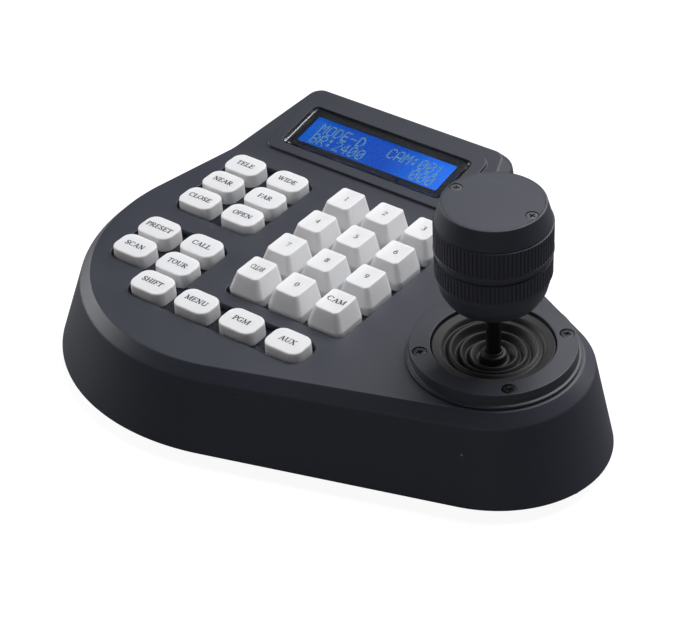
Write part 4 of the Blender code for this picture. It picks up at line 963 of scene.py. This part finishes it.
def make_legend(name, word, height, narrow, shift, top, place, ink):
    """Printed word on a key: thin raised strokes that follow the top of the key."""
    skin = Skin()
    wide = sum(LETTERS[c][0] for c in word)
    raised, sunk = 0.035 * MM, 0.06 * MM
    start = -wide / 2
    for letter in word:
        advance, strokes = LETTERS[letter]
        for stroke in strokes:
            left, right = stroke_sides(stroke)
            sides = [(side + (start, -0.5)) * (height * narrow, height) + shift
                     for side in (left, right)]
            lifted = [lay(side, top(*side.T) + lift) for side, lift in
                      ((sides[0], raised), (sides[1], raised), (sides[1], -sunk),
                       (sides[0], -sunk))]
            grid = skin.add(place(np.stack(lifted, 1)))
            skin.quads(grid)
            skin.faces += [grid[0].tolist(), grid[-1].tolist()]
        start += advance
    skin.finish(name + "_legend", ink, name + "_body", sharp=30)


# ---------------------------------------------------------------- display

DOT_LETTERS = {
    "M": "10001 11011 10101 10101 10001 10001 10001", "O": "01110 10001 10001 10001 10001 10001 01110",
    "D": "11100 10010 10001 10001 10001 10010 11100", "E": "11111 10000 10000 11110 10000 10000 11111",
    "-": "00000 00000 00000 11111 00000 00000 00000", "C": "01110 10001 10000 10000 10000 10001 01110",
    "A": "01110 10001 10001 10001 11111 10001 10001", ":": "00000 01100 01100 00000 01100 01100 00000",
    "0": "01110 10001 10011 10101 11001 10001 01110", "1": "00100 01100 00100 00100 00100 00100 01110",
    "B": "11110 10001 10001 11110 10001 10001 11110", "R": "11110 10001 10001 11110 10100 10010 10001",
    "2": "01110 10001 00001 00010 00100 01000 11111", "4": "00010 00110 01010 10010 11111 00010 00010",
}
DISPLAY_ROWS = ("MODE-D   CAM:001", "BR:2400      000")


def boxes(skin, centres, size, place):
    """Small closed boxes (M of them) at centres (M, 3) with one size (3,)."""
    signs = np.array([(-1, -1, -1), (1, -1, -1), (1, 1, -1), (-1, 1, -1),
                      (-1, -1, 1), (1, -1, 1), (1, 1, 1), (-1, 1, 1)]) / 2
    index = skin.add(place(centres[:, None, :] + signs * size))
    sides = [(0, 3, 2, 1), (4, 5, 6, 7), (0, 1, 5, 4), (1, 2, 6, 5), (2, 3, 7, 6), (3, 0, 4, 7)]
    skin.faces += index[:, sides].reshape(-1, 4).tolist()


def make_display(colours):
    """Lens, printed mask, lit cell and the dots of its characters, in the display plane."""
    centre = np.array([LCD_U, LCD_S, 0])

    def place(points):
        return display(np.asarray(points, float) + centre)
    low = PLATEAU_RISE - LENS_THICK + 0.2 * MM
    skin = Skin()
    corners = [lay(rectangle(LENS_W, LENS_D, 2 * MM, grow), h) for grow, h in
               ((-1.2 * MM, low), (0, low), (0, low + LENS_THICK - 0.35 * MM),
                (-0.45 * MM, low + LENS_THICK), (-1.5 * MM, low + LENS_THICK))]
    rings = chain_rings(np.stack(corners), [0.1 * MM, 0.08 * MM, 0.08 * MM], 3, 0.05 * MM)
    index = skin.rings(place(rings))
    skin.plate(index[0])
    skin.plate(index[-1])
    skin.finish("display_window", clear_glass(), "case", "lens", ["display_lens"])

    skin = Skin()
    outer = rectangle(LENS_W, LENS_D, 2 * MM, -0.25 * MM)
    window = rectangle(64.6 * MM, 14.8 * MM, 0.5 * MM)
    mask_top, mask_low = low - 0.05 * MM, low - 0.25 * MM
    rings = [lay(window, mask_low), lay(outer, mask_low), lay(outer, mask_top),
             lay(window, mask_top)]
    skin.rings(place(np.stack(rings)), True)
    skin.finish("display_mask", moulded("printed_mask", (0.02, 0.02, 0.024), 0.3, 900.0, 0.03),
                "case", sharp=30)

    skin = Skin()
    low_corner, high_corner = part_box("lcd_glass")
    base = rectangle((high_corner - low_corner)[0], 23.4 * MM, 0.5 * MM)
    lit = rectangle(65.1 * MM, 16 * MM, 0.4 * MM)
    back, shelf, front = -7.5 * MM, -4.2 * MM, -1.4 * MM
    corners = [lay(base, back), lay(base, shelf), lay(lit, shelf), lay(lit, front)]
    index = skin.rings(place(np.stack(corners)))
    skin.plate(index[0])
    skin.plate(index[-1])
    skin.finish("display_cell", lit_display(colours.display), "case", "lcd", ["lcd_glass"], 30)

    skin = Skin()
    pitch_u, pitch_s, dot_u, dot_s = 3.55 * MM, 5.95 * MM, 0.6 * MM, 0.8 * MM
    spots = [((col - 7.5) * pitch_u + (x - 2) * dot_u, (0.5 - row) * pitch_s + (3 - y) * dot_s)
             for row, words in enumerate(DISPLAY_ROWS) for col, letter in enumerate(words)
             if letter in DOT_LETTERS
             for y, bits in enumerate(DOT_LETTERS[letter].split())
             for x, bit in enumerate(bits) if bit == "1"]
    centres = lay(np.array(spots), front + 0.03 * MM)
    boxes(skin, centres, np.array([0.53 * MM, 0.73 * MM, 0.08 * MM]), place)
    dots = moulded("display_dots", colours.dots, 0.4, 900.0, 0.02, 0.2)
    shader = dots.node_tree.nodes["Principled BSDF"]
    shader.inputs["Emission Color"].default_value = (*colours.dots, 1)
    shader.inputs["Emission Strength"].default_value = 0.6
    skin.finish("display_characters", dots, "case", sharp=30)


# ---------------------------------------------------------------- screws

def cross_corners(arm, width):
    """Twelve corners of a cross recess, anticlockwise."""
    quarter_turn = np.array([[0, 1], [-1, 0]])
    corners = [np.array([(arm, -width), (arm, width), (width, width)])]
    for _ in range(3):
        corners.append(corners[-1] @ quarter_turn)
    return np.concatenate(corners)


def make_screw(name, finish, body, slot, radius, head, shank, length_down, place, turn=0.3,
               replaces=()):
    """Screw: a cross recess in a flat rounded head on a straight shank."""
    c, s = math.cos(turn), math.sin(turn)
    swing = np.array([[c, s], [-s, c]])
    skin = Skin()
    wide, deep = radius * 0.60, radius * 0.15
    mouth = rounded_polygon(cross_corners(wide, deep), 0.06 * radius, 0.12 * radius, 3) @ swing
    edge = rounded_polygon(cross_corners(wide, deep), 0.06 * radius, 0.0, 3) @ swing
    floor = edge * 0.62
    cross = skin.rings(place(chain_rings(np.stack([lay(mouth, 0), lay(edge, 0),
                                                   lay(floor, -0.5 * head - 0.2 * radius)]),
                                         [0.05 * radius], 3, 0.02 * radius)))
    skin.pole(cross[-1], place([[0, 0, -0.5 * head - 0.3 * radius]])[0])
    count = 48
    corners = np.array([(radius * 0.88, 0), (radius, -0.02 * radius), (radius, -head),
                        (shank, -head), (shank, -length_down), (0.1 * shank, -length_down)])
    profile = fillet(corners, [0.14 * radius, 0.08 * radius, 0.05 * radius, 0.2 * shank], 4,
                     0.02 * radius)
    rings = turned(skin, profile, count, place=place)
    skin.plate(rings[0], [cross[0]])
    skin.pole(rings[-1], place([[0, 0, -length_down]])[0])
    return skin.finish(name, finish, body, slot, replaces)


# ---------------------------------------------------------------- joystick

def stick_frame(centre=(0.0, 0.0), height=0.0):
    """Placing function for points measured from the stick's axis at rest."""
    shift = np.array([STICK_U + centre[0], STICK_V + centre[1], height])
    return lambda points: panel(np.asarray(points, float) + shift)


def seat(skin, place, centre, radius, top, depth, lip, count=40):
    """Closed round recess; returns its mouth ring."""
    ring = [lay(circle(r, count) + centre, h) for r, h in
            ((radius + lip, top), (radius, top), (radius, top - depth), (radius * 0.4, top - depth))]
    index = skin.rings(place(chain_rings(np.stack(ring), [lip * 0.6, lip * 0.6], 3, lip * 0.2)))
    skin.pole(index[-1], place([[*centre, top - depth]])[0])
    return index[0]


def make_ring(finish, screw_finish):
    """Joystick ring: its section turned round the stick, with four seated screws."""
    skin = Skin()
    place = stick_frame()
    hole, top = RING_HOLE, RING_HEIGHT
    corners = np.array([
        (RING_RADIUS - 0.62 * MM, top), (RING_RADIUS - 0.18 * MM, top),
        (RING_RADIUS + 0.12 * MM, 1.4 * MM), (RING_BASE - 0.1 * MM, 1.0 * MM),
        (RING_BASE, 0.3 * MM), (hole + 2.4 * MM, 0.3 * MM), (hole + 2.4 * MM, 1.9 * MM),
        (hole, 1.9 * MM), (hole, top), (hole + 0.55 * MM, top)])
    profile = fillet(corners, [0.3 * MM, 0.3 * MM, 0.2 * MM, 0.1 * MM, 0.1 * MM, 0.1 * MM,
                               0.2 * MM, 0.35 * MM], 5, 0.05 * MM)
    rings = turned(skin, profile, 192, place=place)
    holes = [rings[-1]]
    spots = [(a * RING_SCREW, b * RING_SCREW) for a, b in ((1, 1), (-1, 1), (-1, -1), (1, -1))]
    for spot in spots:
        holes.append(seat(skin, place, spot, 2.5 * MM, top, 1.2 * MM, 0.1 * MM))
    skin.plate(rings[0], holes)
    skin.finish("stick_ring", finish, "case", "ring", ["joystick_ring"])
    for k, spot in enumerate(spots):
        make_screw(f"stick_ring_screw_{k + 1}", screw_finish, "case", "black_screw", 2.25 * MM,
                   0.8 * MM, 0.9 * MM, 1.1 * MM, stick_frame(spot, top - 0.12 * MM),
                   0.3 + 1.1 * k, [f"ring_screw_{k + 1}"])


def boot_profile(sizes, radii):
    """Height of the boot: a bowl from rim to collar with concentric ripples.

    Crests lie at 14.1, 10.7 and 7.5 mm; between them the ripple is a raised cosine
    whose height fades to nothing at the rim band and at the collar.
    """
    r = radii / MM
    bowl = np.interp(r, [4.6, 7.5, 10.7, 14.1, 17.0, 17.6], [-1.5, -0.6, 0.3, 1.7, 3.2, 3.45])
    phase = np.interp(r, [4.6, 7.5, 10.7, 14.1, 16.9], [-0.5, 0.0, 1.0, 2.0, 2.62])
    fade = np.clip((17.3 - r) / 0.9, 0, 1) * np.clip((r - 4.4) / 1.2, 0, 1)
    wave = np.cos(2 * math.pi * phase)
    return bowl * MM + sizes.ripple * wave * fade


BOOT_SPLIT = 12.35 * MM


def make_boot(sizes, finish):
    """Rippled rubber boot in two parts."""
    place = stick_frame()
    thick = 0.7 * MM
    rim = RING_HOLE - 0.25 * MM
    outer = np.concatenate([np.linspace(17.5 * MM, BOOT_SPLIT + 0.03 * MM, 44), [BOOT_SPLIT]])
    inner = np.concatenate([[BOOT_SPLIT, BOOT_SPLIT - 0.03 * MM],
                            np.linspace(BOOT_SPLIT - 0.2 * MM, 4.75 * MM, 56)])
    band = fillet(np.array([(rim - 1.2 * MM, 0.7 * MM), (rim + 1.6 * MM, 0.7 * MM),
                            (rim + 1.6 * MM, 1.6 * MM), (rim, 1.6 * MM), (rim, 4.05 * MM),
                            (17.8 * MM, 3.55 * MM), (17.5 * MM, 3.42 * MM)]),
                  [0.2 * MM, 0.2 * MM, 0.2 * MM, 0.5 * MM, 0.1 * MM], 4, 0.05 * MM)
    top = np.stack([outer, boot_profile(sizes, outer)], 1)
    under = top[::-1] - (0.0, thick)
    inside = np.array([(17.9 * MM, 2.6 * MM), (rim - 1.2 * MM, 2.9 * MM)])
    skin = Skin()
    turned(skin, np.concatenate([band[:-1], top, under, inside]), 144, place=place, loop=True)
    bend(skin.finish("boot_outer", finish, None, "boot", ["joystick_boot"], 50),
         17.3 * MM, BOOT_SPLIT)

    hole = SHAFT_RADIUS + 0.25 * MM
    top = np.stack([inner, boot_profile(sizes, inner)], 1)
    collar = fillet(np.array([(4.7 * MM, -1.75 * MM), (4.45 * MM, -1.6 * MM), (4.3 * MM, 0.9 * MM),
                              (3.35 * MM, 1.25 * MM), (3.25 * MM, 1.9 * MM), (hole, 2.0 * MM),
                              (hole, -2.9 * MM), (4.4 * MM, -2.9 * MM)]),
                    [0.3 * MM, 0.3 * MM, 0.15 * MM, 0.15 * MM, 0.1 * MM, 0.1 * MM], 4, 0.04 * MM)
    under = top[::-1] - (0.0, thick)
    skin = Skin()
    turned(skin, np.concatenate([top, collar, under]), 144, place=place, loop=True)
    bend(skin.finish("boot_inner", finish, None, "boot", (), 50),
         BOOT_SPLIT, 4.9 * MM)


def bend(piece, start, end):
    """Bake a turned piece's placing into its points and read them back; nothing is blended between
    bodies.
    """
    axis = panel([[STICK_U, STICK_V, 0], [STICK_U + start, STICK_V, 0],
                  [STICK_U + end, STICK_V, 0]])
    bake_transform(piece)
    points = np.zeros(len(piece.data.vertices) * 3, np.float32)
    piece.data.vertices.foreach_get("co", points)


def make_knob(sizes, finish, screw_finish):
    """Two-part knob: knurled skirt below and knurled cap above, held by two screws."""
    place = stick_frame()
    ribs = sizes.knurl_ribs
    depth = sizes.knurl_depth

    def grooves(low, high):
        def taken(angle, height):
            wave = 0.5 - 0.5 * np.tanh(6 * (np.cos(ribs * angle) + 0.15))
            ends = np.clip((height - low) / (0.3 * MM), 0, 1) * np.clip(
                (high - height) / (0.3 * MM), 0, 1)
            return depth * wave * ends * (height > low) * (height < high)
        return taken
    bore = SHAFT_RADIUS + 0.3 * MM
    low, high = 34.5 * MM, 41.4 * MM
    grip = KNOB_RADIUS - 0.15 * MM
    corners = [(bore, KNOB_BOTTOM), (12.2 * MM, KNOB_BOTTOM), (15.2 * MM, KNOB_BOTTOM + 1.6 * MM),
               (17.4 * MM, KNOB_BOTTOM + 5.4 * MM), (18.3 * MM, KNOB_BOTTOM + 9.2 * MM),
               (18.35 * MM, low), (grip, low + 0.05 * MM), (grip, low + 0.4 * MM),
               (grip, high - 0.4 * MM), (grip, high - 0.05 * MM), (grip - 0.55 * MM, high),
               (grip - 0.55 * MM, KNOB_SPLIT), (bore + 6 * MM, KNOB_SPLIT), (bore, KNOB_SPLIT)]
    radii = np.array([0.8, 3.0, 6.0, 3.0, 0.1, 0.05, 0.02, 0.02, 0.05, 0.12, 0.1, 0.1]) * MM
    profile = fillet(np.array(corners), radii, 4, 0.04 * MM)
    skin = Skin()
    segments = 8 * ribs
    turned(skin, profile, segments, place=place, loop=True, radial=grooves(low, high))
    skin.finish("knob_skirt", finish, "knob", "knob", ["knob_lower"])

    split = KNOB_SPLIT + 0.3 * MM
    low, high = split + 1.3 * MM, 53.6 * MM
    grip = KNOB_RADIUS
    corners = [(KNOB_TOP_RADIUS - 0.9 * MM, KNOB_TOP), (KNOB_TOP_RADIUS, KNOB_TOP),
               (KNOB_RADIUS - 0.45 * MM, high + 0.5 * MM), (KNOB_RADIUS - 0.5 * MM, high + 0.05 * MM),
               (grip, high), (grip, high - 0.4 * MM), (grip, low + 0.4 * MM),
               (grip, low + 0.02 * MM), (grip + 0.1 * MM, low - 0.15 * MM),
               (grip + 0.1 * MM, split), (grip - 0.8 * MM, split),
               (bore + 6 * MM, split)]
    radii = np.array([0.8, 0.5, 0.05, 0.08, 0.02, 0.02, 0.03, 0.08, 0.25, 0.1]) * MM
    profile = fillet(np.array(corners), radii, 4, 0.04 * MM)
    skin = Skin()
    rings = turned(skin, profile, segments, place=place, radial=grooves(low, high))
    mouths = [seat(skin, place, (side * KNOB_SCREW, 0.0), 2.15 * MM, KNOB_TOP, 1.1 * MM, 0.12 * MM)
              for side in (-1, 1)]
    inner = turned(skin, np.array([(KNOB_TOP_RADIUS - 0.74 * MM, KNOB_TOP)]), 96, place=place)
    skin.plate(rings[0], [inner[0]])
    skin.plate(inner[0], mouths)
    skin.pole(rings[-1], place([[0, 0, split]])[0])
    skin.finish("knob_cap", finish, "knob", "knob", ["knob_upper"])
    for k, side in enumerate((-1, 1)):
        make_screw(f"knob_cap_screw_{k + 1}", screw_finish, "knob", "black_screw", 1.95 * MM,
                   0.7 * MM, 0.8 * MM, 1.0 * MM,
                   stick_frame((side * KNOB_SCREW, 0.0), KNOB_TOP - 0.15 * MM), 0.5 + k,
                   [f"knob_screw_{k + 1}"])


# ---------------------------------------------------------------- base and sockets

def make_feet(finish):
    """Moulded rubber feet with a rounded sole and a shallow ring groove."""
    for k in range(4):
        low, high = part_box(f"foot_{k + 1}")
        centre, radius, top = (low + high) / 2, (high.x - low.x) / 2, high.z
        under, peg = RIM_Z - 0.3 * MM, 4.0 * MM
        corners = np.array([(0.1 * MM, 0.25 * MM), (2.4 * MM, 0.25 * MM), (2.8 * MM, 0),
                            (radius - 0.9 * MM, 0), (radius - 0.25 * MM, 0.7 * MM),
                            (radius, under), (peg, under), (peg, top), (0.1 * MM, top)])
        profile = fillet(corners, np.array([0.2, 0.2, 0.4, 0.3, 0.5, 0.1, 0.2]) * MM, 4, 0.05 * MM)
        skin = Skin()

        def place(points, centre=centre):
            return np.asarray(points, float) + (centre.x, centre.y, 0)
        rings = turned(skin, profile, 64, place=place)
        skin.pole(rings[0], place([[0, 0, 0.25 * MM]])[0])
        skin.pole(rings[-1], place([[0, 0, top]])[0])
        skin.finish(f"rubber_foot_{k + 1}", finish, "case", "foot", [f"foot_{k + 1}"])


def make_sockets(finish, contact):
    """Rear sockets: smooth inlet with its pin, and a data jack with eight contacts."""
    for node in ("dc_jack", "data_socket"):
        low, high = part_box(node)
        face, x, z = high.y, (low.x + high.x) / 2, (low.z + high.z) / 2
        deep = high.y - low.y

        def place(points, x=x, z=z, face=face):
            px, pz, depth = np.moveaxis(np.asarray(points, float), -1, 0)
            return np.stack([x - px, face - depth, z + pz], -1)
        skin = Skin()
        if node == "dc_jack":
            block = rectangle(JACK_W, JACK_H, 0.5 * MM, 0, 11)
            turn = np.arctan2(block[:, 1], block[:, 0])
            spokes = np.stack([np.cos(turn), np.sin(turn)], 1)
            corners = [lay(block * 0.9, deep), lay(block, deep), lay(block, 0),
                       lay(spokes * 3.2 * MM, 0), lay(spokes * 3.2 * MM, 9 * MM),
                       lay(spokes * 1.0 * MM, 9 * MM), lay(spokes * 1.0 * MM, 1.5 * MM),
                       lay(spokes * 0.2 * MM, 1.5 * MM)]
            radii = np.array([0.3, 0.4, 0.35, 0.2, 0.2, 0.4]) * MM
            name = "power_inlet"
        else:
            block = rectangle(SOCKET_W, SOCKET_H, 0.5 * MM, 0, 6)
            mouth = rounded_polygon([(5.9, -3.2), (5.9, 4.6), (-5.9, 4.6), (-5.9, -3.2)],
                                    0.4, 0, 6) * MM
            corners = [lay(block * 0.9, deep), lay(block, deep), lay(block, 0), lay(mouth, 0),
                       lay(mouth, 11.5 * MM), lay(mouth * 0.5, 11.5 * MM)]
            radii = np.array([0.3, 0.4, 0.3, 0.2]) * MM
            name = "data_jack"
        index = skin.rings(place(chain_rings(np.stack(corners), radii, 4, 0.08 * MM)))
        for ring in (index[0], index[-1]):
            skin.plate(ring, (), (0, 2))
        skin.finish(name, finish, "case", "socket", [node])
    low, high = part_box("data_socket")
    middle = (low.x + high.x) / 2
    skin = Skin()
    k = np.arange(8) - 3.5
    centres = np.stack([middle + k * 1.02 * MM, np.full(8, high.y - 5.5 * MM),
                        np.full(8, SOCKET_Z + 3.3 * MM)], 1)
    boxes(skin, centres, np.array([0.45, 9.0, 0.35]) * MM, lambda p: p)
    skin.finish("jack_contacts", contact, "case", sharp=30)


# ---------------------------------------------------------------- operators

def sizes_of(context):
    return context.scene.controller_sizes


def colours_of(context):
    return context.scene.controller_colours


class CONTROLLER_OT_case(bpy.types.Operator):
    """Build the moulded upper case with its openings"""
    bl_idname = "controller.build_case"
    bl_label = "Case"

    def execute(self, context):
        # The case finish carries a painted highlight on its convex edges.
        finish = moulded("charcoal_case", colours_of(context).case, 0.48, 2400.0, 0.10, 0.10,
                         dust=0.006, edge_highlight=0.3)
        make_case(sizes_of(context), finish)
        return {"FINISHED"}


class CONTROLLER_OT_keys(bpy.types.Operator):
    """Build the function keys, the keypad keys and their printed legends"""
    bl_idname = "controller.build_keys"
    bl_label = "Keys"

    def execute(self, context):
        colours = colours_of(context)
        cap = moulded("key_plastic", colours.key, 0.42, 1500.0, 0.05, 0.02, spread=0.04)
        shader = cap.node_tree.nodes["Principled BSDF"]
        shader.inputs["Subsurface Weight"].default_value = 0.5
        shader.inputs["Subsurface Scale"].default_value = 3.0 * MM
        shader.inputs["Subsurface Radius"].default_value = (1.0, 0.85, 0.7)
        ink = moulded("printed_ink", colours.legend, 0.55, 3000.0, 0.1, 0.25)
        make_small_keys(sizes_of(context), cap, ink)
        make_pad_keys(sizes_of(context), cap, ink)
        return {"FINISHED"}


class CONTROLLER_OT_display(bpy.types.Operator):
    """Build the display window, its mask, the lit cell and the characters"""
    bl_idname = "controller.build_display"
    bl_label = "Display"

    def execute(self, context):
        make_display(colours_of(context))
        return {"FINISHED"}


class CONTROLLER_OT_ring(bpy.types.Operator):
    """Build the joystick ring with its screws"""
    bl_idname = "controller.build_ring"
    bl_label = "Joystick ring"

    def execute(self, context):
        colours = colours_of(context)
        # The ring finish carries a painted highlight on its convex edges.
        make_ring(moulded("ring_plastic", colours.ring, 0.42, 2400.0, 0.08,
                          edge_highlight=0.3, dust=0.01),
                  moulded("black_screw", colours.screw, 0.34, 1800.0, 0.08, 0.2, metallic=1.0))
        return {"FINISHED"}


class CONTROLLER_OT_boot(bpy.types.Operator):
    """Build the rippled rubber boot"""
    bl_idname = "controller.build_boot"
    bl_label = "Boot"

    def execute(self, context):
        make_boot(sizes_of(context), moulded("boot_rubber", colours_of(context).boot, 0.6,
                                             1400.0, 0.06, 0.2))
        return {"FINISHED"}


class CONTROLLER_OT_knob(bpy.types.Operator):
    """Build the knurled knob and its screws"""
    bl_idname = "controller.build_knob"
    bl_label = "Knob"

    def execute(self, context):
        colours = colours_of(context)
        # The knob finish carries a painted highlight on its convex edges.
        make_knob(sizes_of(context), moulded("knob_plastic", colours.knob, 0.5, 2400.0, 0.12,
                                             edge_highlight=0.3, dust=0.012),
                  bpy.data.materials["black_screw"])
        return {"FINISHED"}


class CONTROLLER_OT_base(bpy.types.Operator):
    """Build the feet and the rear sockets"""
    bl_idname = "controller.build_base"
    bl_label = "Feet and sockets"

    def execute(self, context):
        make_feet(moulded("foot_rubber", (0.012, 0.012, 0.013), 0.7, 1800.0, 0.2, 0.3))
        make_sockets(moulded("socket_plastic", (0.016, 0.016, 0.017), 0.4, 1800.0, 0.06),
                     moulded("gold_contact", (0.8, 0.56, 0.2), 0.25, 900.0, 0.04, metallic=1.0))
        return {"FINISHED"}


class CONTROLLER_OT_frame(bpy.types.Operator):
    """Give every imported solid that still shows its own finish"""
    bl_idname = "controller.finish_frame"
    bl_label = "Inner parts"

    def execute(self, context):
        colours = colours_of(context)
        made = {
            "base": moulded("base_plastic", colours.base, 0.55, 2000.0, 0.2, 0.15, dust=0.01),
            "board": moulded("green_board", (0.015, 0.12, 0.05), 0.35, 300.0, 0.1, 0.3),
            "key_mat": moulded("silicone_mat", (0.32, 0.32, 0.33), 0.65, 1200.0, 0.1, 0.15),
            "bezel": moulded("plated_bezel", (0.52, 0.52, 0.53), 0.3, 900.0, 0.1, metallic=1.0),
            "gimbal": moulded("gimbal_nylon", (0.09, 0.09, 0.1), 0.45, 1500.0, 0.1),
            "sensor": moulded("sensor_case", (0.02, 0.02, 0.022), 0.4, 1500.0, 0.1),
            "shaft": moulded("black_oxide", (0.03, 0.03, 0.032), 0.32, 2500.0, 0.1,
                             metallic=0.6),
            "case_screw": moulded("zinc_screw", (0.55, 0.55, 0.56), 0.35, 1500.0, 0.1,
                                  metallic=1.0),
        }
        kinds = {"bottom_cover": "base", "main_board": "board", "lcd_board": "board",
                 "key_mat": "key_mat", "lcd_bezel": "bezel", "pot_x": "sensor",
                 "pot_y": "sensor", "joystick_shaft": "shaft"}
        for name, node in frame["nodes"].items():
            kind = kinds.get(name, "case_screw" if name.startswith("case_screw") else "gimbal")
            if not node.hide_render:
                node.data.materials.clear()
                node.data.materials.append(made[kind])
        return {"FINISHED"}


def area_light(name, place, target, size, energy):
    """Soft rectangular lamp at a place, facing its target."""
    data = bpy.data.lights.new(name, "AREA")
    data.shape = "RECTANGLE"
    data.size, data.size_y = size
    data.energy = energy
    light = bpy.data.objects.new(name, data)
    light.location = place
    light.rotation_euler = (Vector(target) - Vector(place)).to_track_quat("-Z", "Y").to_euler()
    bpy.context.scene.collection.objects.link(light)


class CONTROLLER_OT_stage(bpy.types.Operator):
    """Set up the pale floor, the soft lights and the camera"""
    bl_idname = "controller.build_stage"
    bl_label = "Stage"

    def execute(self, context):
        scene = context.scene
        scene.view_settings.view_transform = "Standard"
        mesh = bpy.data.meshes.new("floor")
        reach = 6.0
        mesh.from_pydata([(-reach, -reach, 0), (reach, -reach, 0), (reach, reach, 0),
                          (-reach, reach, 0)], [], [(0, 1, 2, 3)])
        floor = bpy.data.objects.new("floor", mesh)
        scene.collection.objects.link(floor)
        mesh.materials.append(floor_finish())
        world = bpy.data.worlds.new("studio")
        world.use_nodes = True
        scene.world = world
        tree = world.node_tree
        backdrop = tree.nodes["Background"]
        backdrop.inputs["Strength"].default_value = 1.0
        rays = tree.nodes.new("ShaderNodeLightPath")
        blend = mixed(tree, rays.outputs["Is Camera Ray"], (0.04, 0.04, 0.045), (1.0, 1.0, 1.0))
        tree.links.new(blend, backdrop.inputs["Color"])
        area_light("top_box", (0.10, 0.60, 1.35), (0, 0, 0.03), (1.1, 1.1), 24.5)
        area_light("rear_box", (0.25, 1.35, 0.7), (0, 0, 0.04), (1.5, 0.5), 8.0)
        area_light("left_box", (-1.3, -0.1, 0.35), (0, 0, 0.04), (0.9, 0.4), 9.0)
        area_light("front_box", (0.5, -1.2, 0.55), (0, 0, 0.05), (1.0, 0.5), 1.5)
        camera = bpy.data.objects.new("camera", bpy.data.cameras.new("camera"))
        camera.data.lens = CAMERA_LENS
        camera.data.sensor_width = CAMERA_SENSOR
        camera.location = PIVOT + CAMERA_OFFSET
        azimuth, elevation, roll = (math.radians(x) for x in
                                    (CAMERA_AZIMUTH, CAMERA_ELEVATION, CAMERA_ROLL))
        turn = (Euler((0, 0, azimuth)).to_matrix() @ Euler((math.pi / 2 - elevation, 0, 0)).to_matrix()
                @ Euler((0, 0, roll)).to_matrix())
        camera.rotation_euler = turn.to_euler()
        scene.collection.objects.link(camera)
        scene.camera = camera
        return {"FINISHED"}


def floor_finish():
    """Pale matt floor, lifted towards white where the camera sees it."""
    material = bpy.data.materials.new("pale_floor")
    material.use_nodes = True
    tree = material.node_tree
    shader = tree.nodes["Principled BSDF"]
    shader.inputs["Roughness"].default_value = 0.9
    shader.inputs["Specular IOR Level"].default_value = 0.1
    grains = tree.nodes.new("ShaderNodeGroup")
    grains.node_tree = grain_group()
    grains.inputs["Mottle Scale"].default_value = 3.0
    tone = mixed(tree, grains.outputs["Mottle"], (0.18, 0.18, 0.18), (0.21, 0.21, 0.21))
    tree.links.new(tone, shader.inputs["Base Color"])
    rays = tree.nodes.new("ShaderNodeLightPath")
    glow = mixed(tree, rays.outputs["Is Camera Ray"], (0.0, 0.0, 0.0), (0.93, 0.93, 0.93))
    tree.links.new(glow, shader.inputs["Emission Color"])
    shader.inputs["Emission Strength"].default_value = 1.0
    return material


BUILDERS = (CONTROLLER_OT_case, CONTROLLER_OT_keys, CONTROLLER_OT_display, CONTROLLER_OT_ring,
            CONTROLLER_OT_boot, CONTROLLER_OT_knob, CONTROLLER_OT_base, CONTROLLER_OT_frame,
            CONTROLLER_OT_stage)


class CONTROLLER_PT_panel(bpy.types.Panel):
    """Lists the builders and the sizes and colours they use"""
    bl_idname = "CONTROLLER_PT_panel"
    bl_label = "Hand controller"
    bl_space_type = "VIEW_3D"
    bl_region_type = "UI"
    bl_category = "Controller"

    def draw(self, context):
        for builder in BUILDERS:
            self.layout.operator(builder.bl_idname, text=builder.bl_label)
        for group in (context.scene.controller_sizes, context.scene.controller_colours):
            for name in group.__annotations__:
                self.layout.prop(group, name)


CLASSES = (ControllerSizes, ControllerColours, *BUILDERS, CONTROLLER_PT_panel)


def register():
    for kind in CLASSES:
        bpy.utils.register_class(kind)
    bpy.types.Scene.controller_sizes = bpy.props.PointerProperty(type=ControllerSizes)
    bpy.types.Scene.controller_colours = bpy.props.PointerProperty(type=ControllerColours)


def unregister():
    del bpy.types.Scene.controller_sizes
    del bpy.types.Scene.controller_colours
    for kind in reversed(CLASSES):
        bpy.utils.unregister_class(kind)


def main():
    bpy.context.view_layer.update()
    register()
    for builder in BUILDERS:
        group, name = builder.bl_idname.split(".")
        getattr(getattr(bpy.ops, group), name)()


if __name__ == "__main__":
    main()
